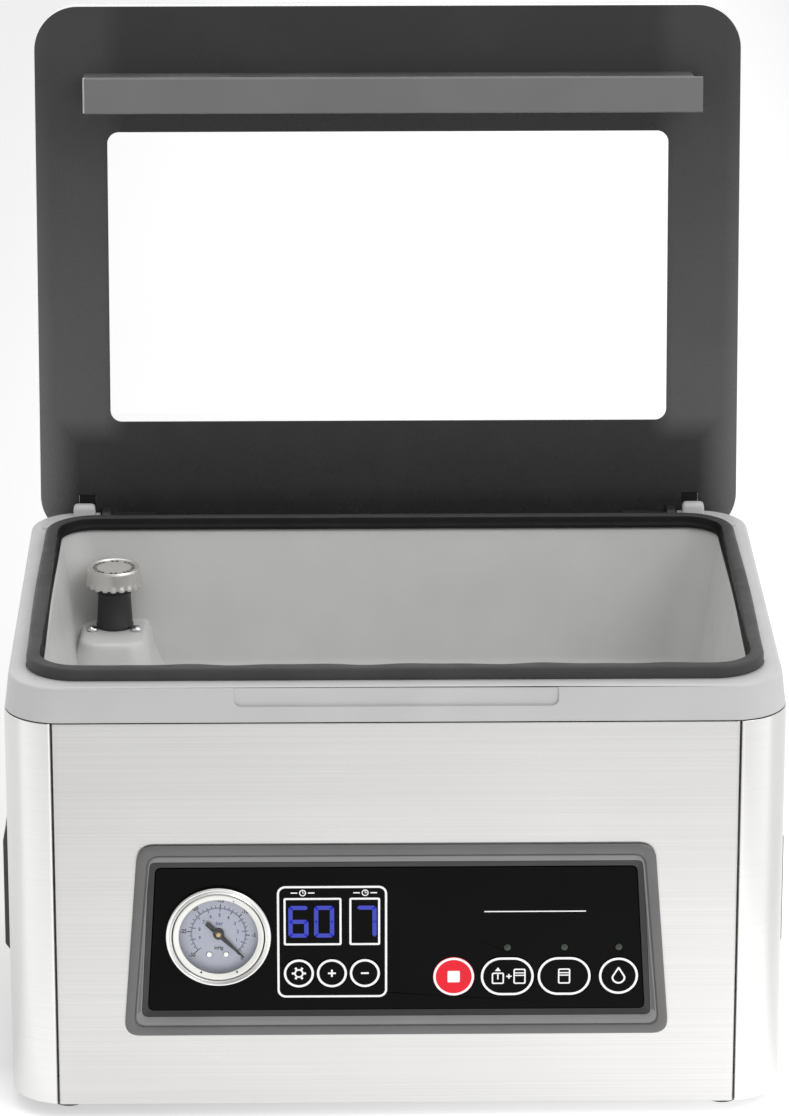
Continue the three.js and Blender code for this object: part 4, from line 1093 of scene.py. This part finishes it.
def drop_sign(x, z):
    def outline(size):
        points = []
        for a in full_turn(24):
            upper = max(0.0, math.sin(a))
            narrow = 1 - 0.5 * upper ** 1.5
            points.append((
                x + size * math.cos(a) * narrow,
                z - 0.8 + size * (math.sin(a) + 0.6 * upper ** 3),
            ))
        return points

    return [line_round(outline(3.4), outline(2.5))]


def panel_prints():
    """White lines printed on the glass: the box round the displays, their frames and a rule."""
    front, back = GLASS_FRONT - 0.05, GLASS_FRONT + 0.1
    outer = box_outline(-58.1, -4.5, 64.6, 123.1, 4.1, 8)
    inner = box_outline(-57.03, -5.57, 65.67, 122.03, 3.05, 8)
    parts = [frame_of(outer, inner, front, back)]
    for x0, x1 in ((-54.9, -26.7), (-22.9, -7.9)):
        outer = box_outline(x0, x1, 92.1, 116.9, 0.9)
        inner = box_outline(x0 + 1.0, x1 - 1.0, 93.1, 115.9, 0.3)
        parts.append(frame_of(outer, inner, front, back))
    sign_z = 119.5
    for x in (-45.6, -15.2):
        parts.append(frame_of(circle(1.7, x, sign_z, 6), circle(1.2, x, sign_z, 6), front, back))
        parts.append(bar(x, sign_z + 0.5, 1.0, 0.4, 90, front))
        parts.append(bar(x + 0.4, sign_z, 0.9, 0.4, 0, front))
        for side in (-1, 1):
            parts.append(bar(x + side * 4.2, sign_z, 3.2, 0.6, 0, front))
    parts.append(bar(67.6, 109.3, 49.5, 0.55, 0, front))
    piece("panel_prints", parts, WHITE_PRINT)


# The segments of a figure: how far across and up from its middle, in half sizes, and the turn in degrees.
SEGMENTS = {
    "a": (0, 1, 0), "b": (1, 0.5, 90), "c": (1, -0.5, 90), "d": (0, -1, 0),
    "e": (-1, -0.5, 90), "f": (-1, 0.5, 90), "g": (0, 0, 0),
}


def digit(x, z, lit, front):
    """The lit segments of one figure."""
    half_w, half_h, thick = 3.85, 7.25, 2.1
    parts = []
    for key in lit:
        side, up, turn = SEGMENTS[key]
        tip = ((2 * half_w if turn == 0 else half_h) + thick * 0.78) / 2
        v = thick / 2
        u = tip - v
        outline = [(-tip, 0), (-u, -v), (u, -v), (tip, 0), (u, v), (-u, v)]
        corners = turned(outline, turn, x + side * half_w, z + up * half_h)
        parts.append(prism(corners, front, front + 0.15))
    return parts


def display():
    keep_node("display_module", BLACK_GLASS, 0.1)
    parts = []
    for x, lit in DIGITS:
        parts += digit(x, DIGIT_Z, lit, GLASS_FRONT + 0.3)
    piece("display_digits", parts, BLUE_GLOW)


def controls():
    keep_node("control_glass", BLACK_GLASS, 0.12)
    keep_node("control_board", CIRCUIT, 0.1)
    dome = [(0, 0), (1.6, 0), (1.6, 0.25), (1.2, 0.5), (0, 0.6)]
    leds = [lathe_forward(dome, x, GLASS_FRONT + 0.1, LEDS["z"], 24) for x in LEDS["x"]]
    piece("led_lenses", leds, LED_DARK)


# ------------------------------------------------------------ gauge
def gauge():
    x, z, face = GAUGE["x"], GAUGE["z"], GLASS_FRONT
    keep_node("gauge_case", SHEET_BLACK, 0.3)
    keep_node("gauge_movement", BRASS, 0.2)
    ring = [
        (25.3, 0.3), (25.7, 0.5), (25.75, 1.4), (25.6, 2.1), (25.1, 2.55), (24.6, 2.6), (24.2, 2.35),
        (24.0, 2.1), (23.8, 2.2), (23.5, 2.75), (23.2, 3.0), (22.95, 2.9), (22.85, 2.5), (22.75, 1.6),
        (22.6, 1.2), (22.6, 0.4),
    ]
    piece("gauge_chrome_ring", [lathe_forward(ring, x, face, z, 96, True)], SATIN_CHROME,
          nodes=["gauge_ring"], angle=60)
    inner = [
        (22.25, 1.5), (22.1, 2.5), (21.8, 2.75), (21.3, 2.75), (19.7, 1.75), (19.4, 1.6), (19.4, 1.45),
        (22.25, 1.45),
    ]
    notches = []
    for degrees in (22, 154, 205):
        notch_x, notch_z = clock(20.3, degrees, x, z)
        notches.append(lathe_forward([(0.7, 1), (0.7, 5)], notch_x, face, notch_z, 4))
    piece("gauge_inner_ring", [lathe_forward(inner, x, face, z, 96, True)], WHITE_ENAMEL,
          nodes=["gauge_ring"], cuts=notches, angle=40)
    disc = [(2.8, -4), (21.5, -4), (21.5, -3.2), (2.8, -3.2)]
    piece("gauge_dial_plate", [lathe_forward(disc, x, face, z, 96, True)], DIAL_FACE,
          nodes=["gauge_dial"], bevel=0.1)
    piece("gauge_glass", [lathe_forward([(0, 0), (21.5, 0), (21.5, 1.4), (0, 1.4)], x, face, z, 96)], LENS,
          nodes=["gauge_lens"])
    dial_marks(x, z, face + 3.16)
    gauge_needle(x, z, face)
    head = [(0, -3.2), (1.5, -3.2), (1.5, -2.8), (1.2, -2.5), (0, -2.4)]
    screws = [lathe_forward(head, x + dx, face, z - 10.9, 24) for dx in (-4.6, 3.6)]
    piece("gauge_dial_screws", screws, SATIN_CHROME, angle=40)


def dial_marks(x, z, y):
    """The dial's two scales: black numbers outside, blue ones inside, printed a few degrees round."""
    askew = 4.0

    def tick(degrees, inner, outer, width):
        middle = clock((inner + outer) / 2, degrees + askew, x, z)
        return bar(*middle, outer - inner, width, 90 - degrees - askew, y)

    def arc(radius, width=0.2, start=-135, end=135, steps=60):
        turns = [start + (end - start) * i / steps + askew for i in range(steps + 1)]
        outline = [clock(radius + width / 2, a, x, z) for a in turns]
        outline += [clock(radius - width / 2, a, x, z) for a in reversed(turns)]
        return prism(outline, y, y + 0.08)

    def number(text, size, radius, degrees, weight, squeeze):
        text_x, text_z = clock(radius, degrees + askew, x, z)
        return lettering(text, size, text_x, y, text_z, weight, squeeze)

    black = [arc(13.4)]
    for value in range(31):
        angle = 135 - 9 * value
        long = value % 5 == 0
        black.append(tick(angle, 13.4, 15.3 if long else 14.6, 0.5 if long else 0.28))
        if long:
            black.append(number(str(-value), 2.9, 17.2, angle, 0.07, 0.85))
    black.append(lettering("inHg", 2.7, x, y, z - 7.6, 0.06, 0.85))
    piece("gauge_black_scale", black, BLACK_PRINT)
    blue = [arc(13.0)]
    for value in range(11):
        angle = 135 - 27 * value
        blue.append(tick(angle, 11.5, 13.0, 0.45))
        if 0 < value < 10:
            blue.append(number(str(value), 2.5, 9.5, angle, 0.06, 0.9))
    blue.append(lettering("bar", 2.7, x + 0.4, y, z + 5.2, 0.05))
    piece("gauge_blue_scale", blue, BLUE_PRINT)


def gauge_needle(x, z, face):
    """The pointer at rest on the zero mark, with its broad tail and its hub."""
    turn = math.radians(135)

    def at(u, v):
        return (x + u * math.cos(turn) + v * math.sin(turn), z - u * math.sin(turn) + v * math.cos(turn))

    outline = [
        (-1.25, 1.5), (-0.28, 17.4), (0.28, 17.4), (1.25, 1.5),
        (1.2, -7.6), (0.8, -8.3), (-0.8, -8.3), (-1.2, -7.6),
    ]
    flat_part = prism([at(u, v) for u, v in outline], face + 1.7, face + 2.2)
    hub = [(1.1, -2.6), (2.7, -2.6), (2.7, -1.5), (2.4, -1.2), (1.1, -1.2)]
    piece("gauge_pointer", [flat_part], BLACK_PRINT, "needle", ["gauge_needle"], 0.08)
    piece("gauge_pointer_hub", [lathe_forward(hub, x, face, z, 40, True)], SHEET_BLACK, "needle",
          ["gauge_needle"], 0.1)
    pin = [(0, -1.3), (1.35, -1.3), (1.35, -1.0), (1.1, -0.75), (0, -0.7)]
    piece("gauge_pointer_pin", [lathe_forward(pin, x, face, z, 32)], BRASS, "needle", angle=40)


# ------------------------------------------------------------ the rest of the case
def fittings():
    for name in ("side_grip_left", "side_grip_right"):
        keep_node(name, DARK_PLASTIC, 0.8)
    for corner in ("front_left", "front_right", "rear_left", "rear_right"):
        keep_node("foot_" + corner, BLACK_RUBBER, 0.3)
    keep_node("base_plate", SHEET_BLACK, 0.4)
    head = [(0, 5.8), (2, 5.9), (3.2, 6.5), (3.6, 7.4), (3.6, 8.05), (0, 8.05)]
    screws = [lathe(head, x, y, 32) for x in (-152, 152) for y in (-120, 120)]
    piece("base_screws", screws, CHROME, angle=40)
    for name in ("mains_inlet", "switch_housing"):
        keep_node(name, SHEET_BLACK, 0.4)
    keep_node("power_rocker", BLACK_GLASS, 0.5)
    pins = [block(-120 + dx - 1.1, -120 + dx + 1.1, 123.0, 137.8, 40 + dz - 2.1, 40 + dz + 2.1)
            for dx, dz in ((-7, -1.5), (0, 2.5), (7, -1.5))]
    piece("inlet_pins", pins, BRASS, bevel=0.4)


def works():
    finishes = {
        "vacuum_pump": ALUMINIUM, "pump_motor": SHEET_BLACK, "fan_wheel": DARK_PLASTIC,
        "transformer": LAMINATED, "power_board": CIRCUIT, "valve_block": ALUMINIUM,
        "vacuum_hose": BLACK_RUBBER, "gauge_hose": BLACK_RUBBER,
    }
    for name, finish in finishes.items():
        keep_node(name, finish, 0.4)


# ------------------------------------------------------------ camera, light and floor
def camera():
    """Looks down on the object from the front and a little from the left."""
    azimuth, elevation = math.radians(CAMERA["azimuth"]), math.radians(CAMERA["elevation"])
    away = Vector((
        math.sin(azimuth) * math.cos(elevation),
        -math.cos(azimuth) * math.cos(elevation),
        math.sin(elevation),
    ))
    data = bpy.data.cameras.new("camera")
    data.lens = CAMERA["lens"]
    data.sensor_width = 36.0
    data.clip_end = 100
    made = bpy.data.objects.new("camera", data)
    made.location = to_frame(CAMERA["target"]) + away * CAMERA["distance"]
    made.rotation_mode = "QUATERNION"
    made.rotation_quaternion = (-away).to_track_quat("-Z", "Y")
    bpy.context.scene.collection.objects.link(made)
    bpy.context.scene.camera = made


def floor():
    """A white floor with a glow of its own, strongest just in front of the object, to the right."""
    size = 12.0
    mesh = bpy.data.meshes.new("floor")
    shape = bmesh.new()
    bmesh.ops.create_grid(shape, x_segments=12, y_segments=12, size=size)
    shape.to_mesh(mesh)
    shape.free()
    made = link("floor", mesh)
    paint = Finish("floor_white", (0.6, 0.6, 0.6), 0.7)
    paint.shader.inputs["Emission Color"].default_value = (1, 1, 1, 1)
    paint.shader.inputs["Specular IOR Level"].default_value = 0.1
    x, y, _ = axes(paint.tree, paint.position)
    across = rise_and_fall(paint.tree, x, *GLOW_ACROSS)
    along = rise_and_fall(paint.tree, y, *GLOW_ALONG)
    glow = calculated(paint.tree, "MULTIPLY", across, along)
    paint.tree.links.new(glow, paint.shader.inputs["Emission Strength"])
    mesh.materials.append(paint.material)


def world():
    """A white studio all round, dimmer in front of the object and most of all to the front left."""
    scene = bpy.context.scene
    scene.world = bpy.data.worlds.new("studio")
    scene.world.use_nodes = True
    tree = scene.world.node_tree
    background = tree.nodes["Background"]
    direction = tree.nodes.new("ShaderNodeTexCoord").outputs["Generated"]
    x, y, _ = axes(tree, direction)
    mix = tree.nodes.new("ShaderNodeMix")
    tree.links.new(ranged(tree, y, *SKY_BACK), mix.inputs["Factor"])
    tree.links.new(ranged(tree, x, *SKY_FRONT), mix.inputs["A"])
    mix.inputs["B"].default_value = 1.0
    tree.links.new(mix.outputs["Result"], background.inputs["Strength"])
    background.inputs["Color"].default_value = (1, 1, 1, 1)


def softbox(name, at, towards, width, height, watts):
    data = bpy.data.lights.new(name, "AREA")
    data.shape = "RECTANGLE"
    data.size = width
    data.size_y = height
    data.energy = watts
    made = bpy.data.objects.new(name, data)
    made.location = at
    direction = Vector(towards) - Vector(at)
    made.rotation_mode = "QUATERNION"
    made.rotation_quaternion = direction.to_track_quat("-Z", "Y")
    bpy.context.scene.collection.objects.link(made)


def lights():
    softbox("key_light", (1.6, -1.4, 2.2), (0, 0, 0.15), 1.4, 1.4, 18)
    softbox("top_light", (0, 0.3, 2.6), (0, 0, 0.2), 2.0, 2.0, 14)


steel_panels()
top_rim()
chamber_tub()
gasket()
suction_port()
lid()
press_strip()
hinges()
seal_bar()
bezel()
keys()
panel_prints()
display()
controls()
gauge()
fittings()
works()
camera()
floor()
world()
lights()
bpy.context.scene.view_settings.view_transform = "Standard"

bpy.context.view_layer.update()
